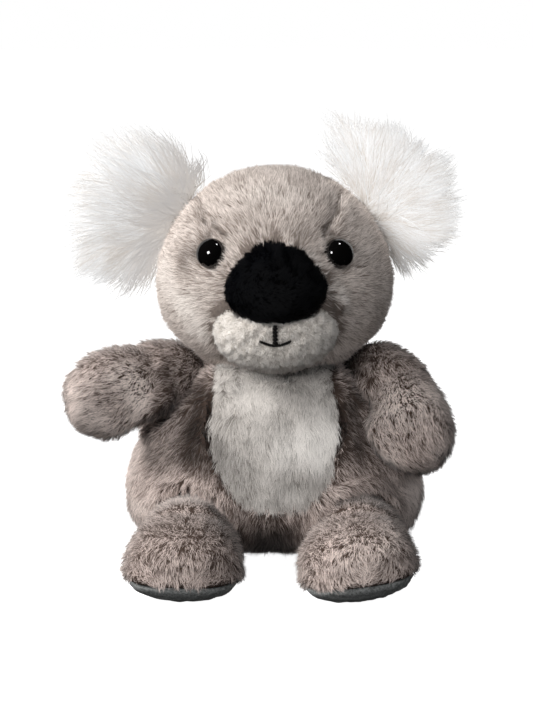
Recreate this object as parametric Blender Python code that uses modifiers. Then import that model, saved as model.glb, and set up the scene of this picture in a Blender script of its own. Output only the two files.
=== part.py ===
# Sitting plush koala: sewn plush skins, each with its opening at a seam, round
# their fibre stuffing, with safety eyes, a long-haired ear pair and felt soles.
# The koala faces -Y, its own left is +X, and the floor under its seat is Z = 0.

from math import asin, copysign, cos, exp, pi, radians, sin, sqrt

import bmesh
import bpy
from mathutils import Matrix, Vector
from mathutils.bvhtree import BVHTree

MM = 0.001

# Cloth, stuffing and the play between sewn pieces
PLUSH_THICKNESS = 3.0 * MM
SEAM_GAP = 0.35 * MM
SOCKET_GAP = 0.8 * MM
PRESS_GAP = 1.1 * MM
WELD = 0.01 * MM

# Body: a pear that is widest at the hips
BODY_HALF_WIDTH = 51.2 * MM
BODY_HALF_DEPTH = 41.0 * MM
BODY_HEIGHT = 61.7 * MM
BODY_LEAN = -3.0 * MM
NECK_OPENING_RADIUS = 15.0 * MM

# Head: an egg on its broad end, with a low snout in front
HEAD_HALF_WIDTH = 39.6 * MM
HEAD_HALF_DEPTH = 36.5 * MM
HEAD_HEIGHT = 67.2 * MM
HEAD_LEAN = -2.0 * MM
SNOUT_RISE = 6.0 * MM
SNOUT_HALF_WIDTH = 17.0 * MM
SNOUT_HALF_HEIGHT = 15.0 * MM
SNOUT_ABOVE_NECK = 29.0 * MM

# Nose pad and muzzle patch
NOSE_HALF_WIDTH = 17.0 * MM
NOSE_HEIGHT = 24.4 * MM
NOSE_DEPTH = 11.0 * MM
NOSE_ABOVE_NECK = 23.2 * MM
NOSE_REACH = 52.0 * MM
MUZZLE_HALF_WIDTH = 20.5 * MM
MUZZLE_HALF_HEIGHT = 14.0 * MM
MUZZLE_HALF_DEPTH = 15.0 * MM
MUZZLE_ABOVE_NECK = 18.8 * MM
MUZZLE_REACH = 50.0 * MM
STITCH_RADIUS = 0.45 * MM
STITCH_DROP = 6.0 * MM
SMILE_HALF_WIDTH = 5.4 * MM
SMILE_RISE = 1.9 * MM
STITCH_STEPS = 6

# Safety eyes with their lock washers
EYE_RADIUS = 4.7 * MM
EYE_DOME = 3.6 * MM
EYE_BRIM = 0.7 * MM
EYE_SPREAD = 20.8 * MM
EYE_ABOVE_NECK = 43.0 * MM
EYE_RECESS = 1.2 * MM
LOOK_HEIGHT_SHARE = 0.45
SHANK_RADIUS = 1.5 * MM
SHANK_LENGTH = 8.0 * MM
SHANK_RIB = 0.25 * MM
SHANK_RIB_PITCH = 1.6 * MM
WASHER_RADIUS = 4.6 * MM
WASHER_THICKNESS = 1.0 * MM
WASHER_CHAMFER = 0.3 * MM
WASHER_PLAY = 0.12 * MM

# Ears: a long-haired front on a short plush back, sewn into the head's side
EAR_SEAM_HALF = 14.5 * MM
EAR_SEAM_ABOVE_NECK = 48.6 * MM
EAR_SEAM_SPREAD = 31.2 * MM
EAR_SEAM_ANGLE = radians(29.5)
EAR_SEAM_BACK = 1.0 * MM
EAR_ROOT_RADIUS = 2.2 * MM
EAR_ROOT_GAP = 0.5 * MM
RIGHT_EAR_REACH = 34.0 * MM
LEFT_EAR_REACH = 31.0 * MM
EAR_HALF_HEIGHT = 26.0 * MM
EAR_FRONT_DEPTH = 9.0 * MM
EAR_BACK_DEPTH = 3.6 * MM
RIGHT_EAR_SAG = 4.0 * MM
LEFT_EAR_SAG = -6.0 * MM
EAR_BACK_SHARE = 0.66
EAR_TAPER = 0.93
EAR_FREE_EDGE_SLOPE = 0.5

# Arms: fat sacks on a round shoulder
ARM_ROOT_RADIUS = 13.0 * MM
ARM_LENGTH = 38.5 * MM
ARM_HALF_HEIGHT = 16.2 * MM
ARM_HALF_THICKNESS = 13.3 * MM
ARM_OPENING_RADIUS = 7.0 * MM
SHOULDER_SPREAD = 36.0 * MM
SHOULDER_HEIGHT = 57.5 * MM
SHOULDER_FORWARD = 9.0 * MM
RIGHT_ARM_HEADING = radians(38.0)
RIGHT_ARM_DROOP = radians(0.0)
LEFT_ARM_HEADING = radians(64.0)
LEFT_ARM_DROOP = radians(27.0)
RIGHT_ARM_SWING = (radians(-30.0), radians(8.0))
LEFT_ARM_SWING = (radians(-6.0), radians(30.0))
SWING_STEPS = 4

# Legs: slipper-shaped feet on a round hip
LEG_ROOT_RADIUS = 14.0 * MM
FOOT_REACH = 37.0 * MM
FOOT_HALF_WIDTH = 19.4 * MM
FOOT_HALF_HEIGHT = 13.4 * MM
LEG_OPENING_RADIUS = 7.5 * MM
UNDERFOOT_ROUNDNESS = 0.55
HIP_SPREAD = 26.5 * MM
HIP_FORWARD = 35.0 * MM
HIP_HEIGHT = 14.0 * MM
FOOT_DROP = 2.0 * MM
RIGHT_TOE_OUT = radians(6.0)
RIGHT_FOOT_ROLL = radians(0.0)
LEFT_TOE_OUT = radians(-3.0)
LEFT_FOOT_ROLL = radians(8.0)
LEG_SWING = (radians(-15.0), radians(12.0))
SOLE_HEEL = 2.2 * MM
SOLE_TOE = 7.5 * MM

# Belly panel and pellet bag
BELLY_HALF_WIDTH = 21.5 * MM
BELLY_HEIGHT = 39.5 * MM
BELLY_BOTTOM = 24.5 * MM
PELLET_HALF_WIDTH = 24.0 * MM
PELLET_HALF_DEPTH = 18.0 * MM
PELLET_HEIGHT = 13.0 * MM
PELLET_SINK = 1.0 * MM

# Faces round a form's cage, and its subdivision
BODY_FACES = 12
HEAD_FACES = 14
LIMB_FACES = 8
BODY_CORE_FACES = 8
HEAD_CORE_FACES = 10
LIMB_CORE_FACES = 8
SMOOTHING = 1
TURNED_STEPS = 16
DOME_STEPS = 5
SHADING_ANGLE = radians(40)
OVERRUN = 30.0 * MM
CUTTER_SIZE = 180.0 * MM

LOOKS = {
    "grey_plush": ((0.38, 0.32, 0.30), 0.95),
    "white_plush": ((0.82, 0.80, 0.77), 0.95),
    "cream_fleece": ((0.72, 0.68, 0.62), 0.95),
    "black_plush": ((0.01, 0.01, 0.012), 0.9),
    "black_eye": ((0.01, 0.01, 0.01), 0.15),
    "black_thread": ((0.01, 0.01, 0.01), 0.7),
    "grey_felt": ((0.12, 0.13, 0.13), 0.95),
    "washer_plastic": ((0.75, 0.75, 0.73), 0.45),
    "fibre_fill": ((0.85, 0.85, 0.84), 1.0),
    "pellet_cloth": ((0.7, 0.7, 0.68), 0.9),
}


def empty_scene():
    for thing in list(bpy.data.objects):
        bpy.data.objects.remove(thing, do_unlink=True)


def new_collection(name):
    group = bpy.data.collections.new(name)
    bpy.context.scene.collection.children.link(group)
    return group


def material(look):
    found = bpy.data.materials.get(look)
    if found:
        return found
    colour, roughness = LOOKS[look]
    made = bpy.data.materials.new(look)
    made.use_nodes = True
    shader = made.node_tree.nodes["Principled BSDF"]
    shader.inputs["Base Color"].default_value = (*colour, 1.0)
    shader.inputs["Roughness"].default_value = roughness
    shader.inputs["Metallic"].default_value = 0.0
    return made


def object_from(form, name, group):
    mesh = bpy.data.meshes.new(name)
    form.to_mesh(mesh)
    form.free()
    made = bpy.data.objects.new(name, mesh)
    group.objects.link(made)
    return made


def finish_piece(piece, look, joint_place=None):
    """Gives a piece its own material, round shading and its origin on its joint."""
    own = material(look).copy()
    own.name = piece.name + "_" + look
    piece.data.materials.clear()
    piece.data.materials.append(own)
    piece.data.shade_smooth()
    piece.data.set_sharp_from_angle(angle=SHADING_ANGLE)
    if joint_place is not None:
        piece.data.transform(Matrix.Translation(-joint_place))
        piece.location = joint_place


def add_cutter(name, form):
    cutter = object_from(form, name, cutters)
    cutter.hide_render = True
    cutter.display_type = "WIRE"
    return cutter


def smooth_cage(piece):
    subdivide = piece.modifiers.new("soften", "SUBSURF")
    subdivide.levels = SMOOTHING
    subdivide.render_levels = SMOOTHING


def cut(piece, cutter, operation="DIFFERENCE"):
    boolean = piece.modifiers.new(operation.lower() + "_" + cutter.name, "BOOLEAN")
    boolean.operation = operation
    boolean.solver = "EXACT"
    boolean.object = cutter


def baked(piece):
    """The piece's mesh in world space with its modifiers worked in."""
    bpy.context.view_layer.update()
    evaluated = piece.evaluated_get(bpy.context.evaluated_depsgraph_get())
    form = bmesh.new()
    form.from_mesh(evaluated.to_mesh())
    form.transform(piece.matrix_world)
    evaluated.to_mesh_clear()
    return form


def swell(faces):
    """How much a ring is enlarged so that one subdivision brings it to its size."""
    return 4 / (3 + cos(2 * pi / faces))


def ring(centre, side, rise, half_side, half_rise, faces, roundness=1.0):
    """An oval ring. A roundness under one makes its lower half boxier."""
    grow = swell(faces)
    points = []
    for step in range(faces):
        across, above = cos(2 * pi * step / faces), sin(2 * pi * step / faces)
        if above < 0:
            across = copysign(abs(across) ** roundness, across)
            above = -(abs(above) ** roundness)
        points.append(centre + side * (across * half_side * grow) + rise * (above * half_rise * grow))
    return points


def loft(rings, tip=None, tail=None):
    """Skin over the rings in order, closed by a fan to the tip and the tail if given."""
    form = bmesh.new()
    rows = [[form.verts.new(point) for point in points] for points in rings]
    count = len(rows[0])
    for lower, upper in zip(rows, rows[1:]):
        for index in range(count):
            after = (index + 1) % count
            form.faces.new((lower[index], lower[after], upper[after], upper[index]))
    for row, end in ((rows[-1], tip), (rows[0], tail)):
        if end is not None:
            centre = form.verts.new(end)
            for index in range(count):
                form.faces.new((row[index], row[(index + 1) % count], centre))
    bmesh.ops.recalc_face_normals(form, faces=form.faces)
    return form


def face_outward(form, centre):
    """Turns the faces of an open skin away from its middle."""
    away = sum((face.calc_center_median() - centre).dot(face.normal) for face in form.faces)
    if away < 0:
        bmesh.ops.reverse_faces(form, faces=form.faces)
    return form


def middle_of(form):
    total = sum((vert.co for vert in form.verts), Vector())
    return total / len(form.verts)


def softened(cage):
    """The smooth open surface that a coarse cage stands for."""
    face_outward(cage, middle_of(cage))
    holder = object_from(cage, "cage", cutters)
    smooth_cage(holder)
    form = baked(holder)
    bpy.data.objects.remove(holder, do_unlink=True)
    return form


def closed(form):
    """The form with its open seam filled."""
    if rim_of(form):
        bmesh.ops.edgeloop_fill(form, edges=rim_of(form))
    bmesh.ops.recalc_face_normals(form, faces=form.faces)
    return form


def pressed(form, tree, place, hinge, turns, free_radius):
    """Flattens a limb where it lies against the body, at rest and as it swings.

    Its round root, within free_radius of the joint, stays as it is."""
    for turn in turns:
        swing = Matrix.Translation(place) @ Matrix.Rotation(turn, 4, hinge) @ Matrix.Translation(-place)
        back = swing.inverted()
        for vert in form.verts:
            if (vert.co - place).length > free_radius:
                swung = swing @ vert.co
                near, normal = tree.find_nearest(swung)[:2]
                proud = (swung - near).dot(normal)
                if proud < PRESS_GAP:
                    vert.co = back @ (swung + normal * (PRESS_GAP - proud))
    return form


def skin_from(surface, name):
    """A sewn skin: the open surface thickened inwards."""
    skin = object_from(surface, name, parts)
    shell = skin.modifiers.new("cloth", "SOLIDIFY")
    shell.thickness = PLUSH_THICKNESS
    shell.offset = -1.0
    return skin


def shifted(form, distance):
    form.normal_update()
    moves = [(vert, vert.normal * distance) for vert in form.verts]
    for vert, move in moves:
        vert.co += move
    return form


def rim_of(form):
    return [edge for edge in form.edges if edge.is_boundary]


def centre_of(verts):
    return sum((vert.co for vert in verts), Vector()) / len(verts)


def extruded_rim(form):
    """A new row of corners along the open rim."""
    made = bmesh.ops.extrude_edge_only(form, edges=rim_of(form))
    return [item for item in made["geom"] if isinstance(item, bmesh.types.BMVert)]


def stuffing_from(form, name):
    """The fibre inside a skin's surface, with a plug that fills the opening at the seam."""
    rim = [vert for vert in form.verts if vert.is_boundary]
    seam = centre_of(rim)
    shifted(form, -(PLUSH_THICKNESS + SEAM_GAP))
    inner = centre_of(rim)
    radius = sum((vert.co - inner).length for vert in rim) / len(rim)
    for vert in extruded_rim(form):
        vert.co = inner + (vert.co - inner) * (1 - SOCKET_GAP / radius)
    climb = (seam - inner).length - SEAM_GAP
    for vert in extruded_rim(form):
        vert.co += (seam - inner).normalized() * climb
    return object_from(closed(form), name, parts)


def ball(centre, radius, name):
    """A round cutter whose flats, not its corners, lie at the radius."""
    form = bmesh.new()
    full = radius / cos(pi / TURNED_STEPS) ** 2
    bmesh.ops.create_uvsphere(form, u_segments=TURNED_STEPS, v_segments=TURNED_STEPS // 2, radius=full)
    bmesh.ops.translate(form, verts=form.verts, vec=centre)
    return add_cutter(name, form)


def block(centre, name, turn=None):
    """A cutter large enough that one of its faces serves as a plane."""
    form = bmesh.new()
    bmesh.ops.create_cube(form, size=CUTTER_SIZE)
    if turn is not None:
        bmesh.ops.transform(form, verts=form.verts, matrix=turn)
    bmesh.ops.translate(form, verts=form.verts, vec=centre)
    return add_cutter(name, form)


def turned(profile, name, group, axis, place):
    """A closed profile of (radius, height) pairs spun about its own height axis."""
    mesh = bpy.data.meshes.new(name)
    points = [(radius, 0, height) for radius, height in profile]
    edges = [(index, index + 1) for index in range(len(points) - 1)]
    mesh.from_pydata(points, edges, [])
    made = bpy.data.objects.new(name, mesh)
    group.objects.link(made)
    made.matrix_world = Matrix.Translation(place) @ axis.to_track_quat("Z", "Y").to_matrix().to_4x4()
    spin = made.modifiers.new("spin", "SCREW")
    spin.steps = TURNED_STEPS
    spin.render_steps = TURNED_STEPS
    spin.use_merge_vertices = True
    spin.merge_threshold = WELD
    spin.use_smooth_shade = True
    return made


# Body

BODY_RING_SHARES = (
    # height, half width, half depth, centre forward
    (-0.010, 0.72, 0.52, -0.38),
    (0.055, 0.90, 0.72, -0.22),
    (0.200, 1.0, 0.955, -0.02),
    (0.400, 1.0, 1.0, 0.03),
    (0.600, 0.92, 0.955, 0.04),
    (0.790, 0.79, 0.86, 0.04),
    (0.930, 0.65, 0.745, 0.03),
    (0.995, 0.50, 0.60, 0.02),
)
SEAT_SHARE = -0.02


def body_cage(faces):
    rings = []
    for height, wide, deep, forward in BODY_RING_SHARES:
        centre = Vector((0, BODY_LEAN - forward * BODY_HALF_DEPTH, height * BODY_HEIGHT))
        rings.append(
            ring(centre, Vector((1, 0, 0)), Vector((0, 1, 0)),
                 wide * BODY_HALF_WIDTH, deep * BODY_HALF_DEPTH, faces)
        )
    neck = Vector((0, BODY_LEAN, BODY_HEIGHT))
    rings.append(
        ring(neck, Vector((1, 0, 0)), Vector((0, 1, 0)),
             NECK_OPENING_RADIUS, NECK_OPENING_RADIUS, faces)
    )
    low = BODY_RING_SHARES[0]
    seat = Vector((0, BODY_LEAN - low[3] * BODY_HALF_DEPTH, SEAT_SHARE * BODY_HEIGHT))
    return loft(rings, tail=seat)


# Head

HEAD_BASE = BODY_HEIGHT + SEAM_GAP
HEAD_RING_SHARES = (
    # height, half width, half depth
    (0.015, 0.545, 0.56),
    (0.100, 0.755, 0.76),
    (0.220, 0.930, 0.93),
    (0.370, 1.015, 1.0),
    (0.530, 0.995, 1.0),
    (0.680, 0.905, 0.93),
    (0.815, 0.755, 0.79),
    (0.925, 0.520, 0.56),
    (0.990, 0.245, 0.27),
)


def head_point(height):
    return Vector((0, HEAD_LEAN, HEAD_BASE + height * HEAD_HEIGHT))


def snout_push(point):
    """How far the face stands forward of the plain egg at a point."""
    across = point.x / SNOUT_HALF_WIDTH
    above = (point.z - HEAD_BASE - SNOUT_ABOVE_NECK) / SNOUT_HALF_HEIGHT
    return SNOUT_RISE * exp(-(across ** 2) - above ** 2)


def head_cage(faces):
    opening = ring(Vector((0, BODY_LEAN, HEAD_BASE)), Vector((1, 0, 0)), Vector((0, 1, 0)),
                   NECK_OPENING_RADIUS, NECK_OPENING_RADIUS, faces)
    rings = [opening]
    for height, wide, deep in HEAD_RING_SHARES:
        points = ring(head_point(height), Vector((1, 0, 0)), Vector((0, 1, 0)),
                      wide * HEAD_HALF_WIDTH, deep * HEAD_HALF_DEPTH, faces)
        for point in points:
            if point.y < HEAD_LEAN:
                point.y -= snout_push(point)
        rings.append(points)
    return loft(rings, tip=head_point(1.0))


def on_face(tree, across, above_neck):
    """The point of the head's front at a place seen from in front."""
    start = Vector((across, -HEAD_HALF_DEPTH - OVERRUN, HEAD_BASE + above_neck))
    return tree.ray_cast(start, Vector((0, 1, 0)))[0]


# Nose, muzzle and mouth

NOSE_RING_SHARES = (
    # height, half width, depth, how far the front stands back from the reach
    (0.03, 0.55, 0.70, 0.10),
    (0.15, 0.87, 0.95, 0.0),
    (0.36, 1.02, 1.0, 0.0),
    (0.60, 0.90, 0.95, 0.12),
    (0.82, 0.62, 0.75, 0.40),
    (0.96, 0.34, 0.45, 0.80),
)


def nose_cage():
    rings = []
    base = HEAD_BASE + NOSE_ABOVE_NECK
    for height, wide, deep, back in NOSE_RING_SHARES:
        half = deep * NOSE_DEPTH
        centre = Vector((0, -NOSE_REACH + back * NOSE_DEPTH + half, base + height * NOSE_HEIGHT))
        rings.append(
            ring(centre, Vector((1, 0, 0)), Vector((0, 1, 0)), wide * NOSE_HALF_WIDTH, half, LIMB_FACES)
        )
    top = rings[-1]
    bottom = rings[0]
    tip = sum(top, Vector()) / len(top) + Vector((0, 0, NOSE_RING_SHARES[0][0] * NOSE_HEIGHT))
    tail = sum(bottom, Vector()) / len(bottom) - Vector((0, 0, NOSE_RING_SHARES[0][0] * NOSE_HEIGHT))
    return loft(rings, tip=tip, tail=tail)


def muzzle_centre():
    return Vector((0, -MUZZLE_REACH + MUZZLE_HALF_DEPTH, HEAD_BASE + MUZZLE_ABOVE_NECK))


def muzzle_form():
    form = bmesh.new()
    bmesh.ops.create_uvsphere(form, u_segments=TURNED_STEPS, v_segments=TURNED_STEPS // 2, radius=1.0)
    size = Vector((MUZZLE_HALF_WIDTH, MUZZLE_HALF_DEPTH, MUZZLE_HALF_HEIGHT))
    bmesh.ops.scale(form, verts=form.verts, vec=size)
    bmesh.ops.translate(form, verts=form.verts, vec=muzzle_centre())
    return form


def on_muzzle(across, above):
    """A place on the muzzle's front, clear of it by a gap and the thread's radius."""
    lift = SEAM_GAP + STITCH_RADIUS
    centre = muzzle_centre()
    wide = across / (MUZZLE_HALF_WIDTH + lift)
    high = above / (MUZZLE_HALF_HEIGHT + lift)
    deep = (MUZZLE_HALF_DEPTH + lift) * sqrt(1 - wide ** 2 - high ** 2)
    return centre + Vector((across, -deep, above))


def thread_mesh(name, points, group):
    """A sewn thread through the points, as a closed mesh."""
    curve = bpy.data.curves.new(name, "CURVE")
    curve.dimensions = "3D"
    curve.bevel_depth = STITCH_RADIUS
    curve.bevel_resolution = 1
    curve.use_fill_caps = True
    run = curve.splines.new("POLY")
    run.points.add(len(points) - 1)
    for node, point in zip(run.points, points):
        node.co = (*point, 1.0)
    thread = bpy.data.objects.new(name, curve)
    group.objects.link(thread)
    form = baked(thread)
    bpy.data.objects.remove(thread, do_unlink=True)
    bmesh.ops.remove_doubles(form, verts=form.verts, dist=WELD)
    return object_from(form, name, group)


def mouth_stitch():
    """The line under the nose, joined to the smile that it ends in."""
    top = HEAD_BASE + NOSE_ABOVE_NECK - muzzle_centre().z - SEAM_GAP * 2
    low = top - STITCH_DROP
    steps = [step / STITCH_STEPS for step in range(STITCH_STEPS + 1)]
    half = [on_muzzle(SMILE_HALF_WIDTH * step, low + SMILE_RISE * step ** 2) for step in steps]
    other = [Vector((-point.x, point.y, point.z)) for point in half[:0:-1]]
    smile = thread_mesh("mouth_stitch", other + half, parts)
    drop = thread_mesh("drop_stitch", [on_muzzle(0, low + (top - low) * step) for step in steps], cutters)
    drop.hide_render = True
    drop.display_type = "WIRE"
    cut(smile, drop, "UNION")
    return smile


# Eyes

def face_direction(across, above_neck):
    """The way an eye looks: square to the egg of the head at its place."""
    middle = head_point(LOOK_HEIGHT_SHARE)
    place = Vector((across, 0, HEAD_BASE + above_neck)) - middle
    half_height = HEAD_HEIGHT / 2
    left = 1 - (across / HEAD_HALF_WIDTH) ** 2 - (place.z / half_height) ** 2
    forward = -HEAD_HALF_DEPTH * sqrt(left)
    steep = Vector((across / HEAD_HALF_WIDTH ** 2, forward / HEAD_HALF_DEPTH ** 2, place.z / half_height ** 2))
    return steep.normalized()


def eye_profile():
    """From the dome's top down its outer side, along the ribbed shank to its end."""
    turns = [pi / 2 * step / DOME_STEPS for step in range(DOME_STEPS + 1)]
    dome = [(EYE_RADIUS * sin(turn), EYE_DOME * cos(turn)) for turn in turns]
    dome.append((EYE_RADIUS, -EYE_BRIM))
    shank = [(SHANK_RADIUS, -EYE_BRIM)]
    down = EYE_BRIM + SHANK_RIB_PITCH
    while down < SHANK_LENGTH - SHANK_RIB_PITCH:
        shank.append((SHANK_RADIUS, -down))
        shank.append((SHANK_RADIUS - SHANK_RIB, -down - SHANK_RIB_PITCH / 2))
        down += SHANK_RIB_PITCH
    shank.append((SHANK_RADIUS, -SHANK_LENGTH))
    return dome + shank + [(0, -SHANK_LENGTH)]


def washer_profile():
    bore = SHANK_RADIUS + WASHER_PLAY
    return [
        (bore, WASHER_THICKNESS),
        (WASHER_RADIUS - WASHER_CHAMFER, WASHER_THICKNESS),
        (WASHER_RADIUS, WASHER_THICKNESS - WASHER_CHAMFER),
        (WASHER_RADIUS, 0),
        (bore, 0),
        (bore, WASHER_THICKNESS),
    ]


def eyelet_profile():
    """The pocket that an eye sits in and the hole for its shank, as one cutter."""
    pocket = EYE_RADIUS + SEAM_GAP
    hole = SHANK_RADIUS + SEAM_GAP
    return [
        (0, OVERRUN),
        (pocket, OVERRUN),
        (pocket, -EYE_BRIM - SEAM_GAP),
        (hole, -EYE_BRIM - SEAM_GAP),
        (hole, -OVERRUN / 2),
        (0, -OVERRUN / 2),
    ]


def pocket_profile(depth):
    """The room that a washer and the shank's end have in the stuffing."""
    wide = WASHER_RADIUS + SEAM_GAP
    return [
        (0, OVERRUN),
        (wide, OVERRUN),
        (wide, -depth - WASHER_THICKNESS - SEAM_GAP),
        (SHANK_RADIUS + SEAM_GAP, -depth - WASHER_THICKNESS - SEAM_GAP),
        (SHANK_RADIUS + SEAM_GAP, -SHANK_LENGTH - SEAM_GAP),
        (0, -SHANK_LENGTH - SEAM_GAP),
    ]


def add_eye(side, sign, skin, core, tree):
    across = sign * EYE_SPREAD
    look = face_direction(across, EYE_ABOVE_NECK)
    surface = on_face(tree, across, EYE_ABOVE_NECK)
    seat = surface - look * EYE_RECESS
    eye = turned(eye_profile(), side + "_eye", parts, look, seat)
    finish_piece(eye, "black_eye")
    depth = PLUSH_THICKNESS - EYE_RECESS + SEAM_GAP * 2
    washer_place = seat - look * (depth + WASHER_THICKNESS)
    washer = turned(washer_profile(), side + "_eye_washer", parts, look, washer_place)
    finish_piece(washer, "washer_plastic")
    eyelet = turned(eyelet_profile(), side + "_eyelet", cutters, look, seat)
    pocket = turned(pocket_profile(depth), side + "_washer_pocket", cutters, look, seat)
    for cutter in (eyelet, pocket):
        cutter.hide_render = True
        cutter.display_type = "WIRE"
    cut(skin, eyelet)
    cut(core, pocket)


# Ears

EAR_OUTLINE_SHARES = (
    # place along the seam's line, reach of the tip
    (-0.97, 0.36),
    (-0.60, 0.84),
    (0.0, 1.0),
    (0.58, 0.95),
    (0.94, 0.52),
)
EAR_SECTION_SHARES = (
    # place from root to tip, thickness
    (0.0, 0.14),
    (0.32, 0.68),
    (0.68, 1.0),
    (0.96, 0.62),
)


def ear_axes(sign):
    out = Vector((sign * cos(EAR_SEAM_ANGLE), 0, sin(EAR_SEAM_ANGLE)))
    along = Vector((-sign * sin(EAR_SEAM_ANGLE), 0, cos(EAR_SEAM_ANGLE)))
    return out, along


def ear_root(tree, sign, along_seam):
    """The middle of the ear's rounded root edge at a place along its seam."""
    out, along = ear_axes(sign)
    held = max(-EAR_SEAM_HALF, min(EAR_SEAM_HALF, along_seam))
    middle = Vector((sign * EAR_SEAM_SPREAD, EAR_SEAM_BACK, HEAD_BASE + EAR_SEAM_ABOVE_NECK))
    start = middle + along * held + out * OVERRUN
    hit = tree.ray_cast(start, -out)[0]
    lift = EAR_ROOT_RADIUS + EAR_ROOT_GAP + EAR_FREE_EDGE_SLOPE * abs(along_seam - held)
    return hit + along * (along_seam - held) + out * lift


def ear_cage(tree, sign, facing, depth, reach, sag, size):
    """Half of an ear, on one side of its middle plane, from a root edge to a round tip."""
    out, along = ear_axes(sign)
    rings = []
    flat = facing * SEAM_GAP / 2
    for place, share in EAR_OUTLINE_SHARES:
        root = ear_root(tree, sign, (place * EAR_HALF_HEIGHT - sag) * size)
        span = share * reach * size
        near = root - out * EAR_ROOT_RADIUS
        fat = depth * sqrt(1 - (place * EAR_TAPER) ** 2)
        points = [near + out * (step * span) + Vector((0, flat, 0)) for step, thick in EAR_SECTION_SHARES]
        for step, thick in reversed(EAR_SECTION_SHARES):
            points.append(near + out * (step * span) + Vector((0, facing * (fat * thick) + flat, 0)))
        rings.append(points)
    first = sum(rings[0], Vector()) / len(rings[0]) - along * (EAR_ROOT_RADIUS / 2)
    last = sum(rings[-1], Vector()) / len(rings[-1]) + along * (EAR_ROOT_RADIUS / 2)
    return loft(rings, tip=last, tail=first)


def add_ear(side, sign, reach, sag, tree):
    hinge = ear_axes(sign)[1] * -sign
    place = ear_root(tree, sign, 0)
    halves = (
        ("_ear_front", -1, EAR_FRONT_DEPTH, 1.0, "white_plush"),
        ("_ear_back", 1, EAR_BACK_DEPTH, EAR_BACK_SHARE, "grey_plush"),
    )
    for label, facing, depth, size, look in halves:
        cage = ear_cage(tree, sign, facing, depth, reach, sag, size)
        ear = object_from(softened(cage), side + label, parts)
        finish_piece(ear, look, place)
    report_joint(side + "_ear_fold", place, hinge)


# Arms

ARM_SACK_SHARES = (
    # place from shoulder to tip, half height, half thickness
    (0.12, 0.90, 0.97),
    (0.38, 1.0, 1.0),
    (0.64, 0.985, 1.0),
    (0.84, 0.78, 0.80),
    (0.96, 0.44, 0.46),
)
ROOT_TURNS = (radians(58),)


def limb_cage(place, axes, root_radius, opening, size, shares, faces, roundness=1.0):
    """A sack on a ball-shaped root, open where it is sewn on."""
    heading, side, rise = axes
    length, half_side, half_rise = size
    steep = asin(opening / root_radius)
    rings = [ring(place - heading * (root_radius * cos(steep)), side, rise, opening, opening, faces)]
    for turn in ROOT_TURNS:
        back = place - heading * (root_radius * cos(turn))
        wide = root_radius * sin(turn)
        rings.append(ring(back, side, rise, wide, wide, faces))
    for along, high, thick in shares:
        centre = place + heading * (along * length)
        rings.append(ring(centre, side, rise, thick * half_side, high * half_rise, faces, roundness))
    return loft(rings, tip=place + heading * length)


def swing_turns(swing):
    """The turns at which a limb is set against the body, through its whole swing."""
    low, high = swing
    return [low + (high - low) * step / SWING_STEPS for step in range(SWING_STEPS + 1)]


def report_joint(name, place, axis):
    print(name, [round(value, 6) for value in place], [round(value, 6) for value in axis])


def shoulder(sign):
    return Vector((sign * SHOULDER_SPREAD, -SHOULDER_FORWARD, SHOULDER_HEIGHT))


def arm_axes(sign, heading, droop):
    """The way the arm points, its swing axis, and the way that lies square to both."""
    level = Vector((sign * cos(heading), -sin(heading), 0))
    hinge = level.cross(Vector((0, 0, 1))).normalized()
    out = level * cos(droop) - Vector((0, 0, 1)) * sin(droop)
    return out, hinge, hinge.cross(out)


def add_arm(side, sign, heading, droop, swing, tree):
    place = shoulder(sign)
    axes = arm_axes(sign, heading, droop)
    size = (ARM_LENGTH, ARM_HALF_THICKNESS, ARM_HALF_HEIGHT)
    turns = swing_turns(swing)

    def surface(faces):
        cage = limb_cage(place, axes, ARM_ROOT_RADIUS, ARM_OPENING_RADIUS, size, ARM_SACK_SHARES, faces)
        return pressed(softened(cage), tree, place, axes[1], turns, ARM_ROOT_RADIUS)

    skin = skin_from(surface(LIMB_FACES), side + "_arm_skin")
    core = stuffing_from(surface(LIMB_CORE_FACES), side + "_arm_stuffing")
    finish_piece(skin, "grey_plush", place)
    finish_piece(core, "fibre_fill", place)
    report_joint(side + "_arm_swing", place, axes[1])


# Legs

FOOT_SHARES = (
    # place from hip to toe, half height, half width
    (0.15, 0.96, 0.76),
    (0.45, 1.0, 1.0),
    (0.72, 0.93, 0.97),
    (0.90, 0.66, 0.74),
    (0.985, 0.34, 0.40),
)


def hip(sign):
    return Vector((sign * HIP_SPREAD, -HIP_FORWARD, HIP_HEIGHT))


def leg_axes(sign, toe_out, roll):
    """The way the foot points, the way across it and the way up from its sole."""
    level = Vector((sign * sin(toe_out), -cos(toe_out), 0))
    dip = asin(FOOT_DROP / FOOT_REACH)
    heading = level * cos(dip) - Vector((0, 0, 1)) * sin(dip)
    across = level.cross(Vector((0, 0, 1)))
    tip = Matrix.Rotation(sign * roll, 3, level)
    return level, heading, tip @ across, tip @ across.cross(heading)


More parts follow.
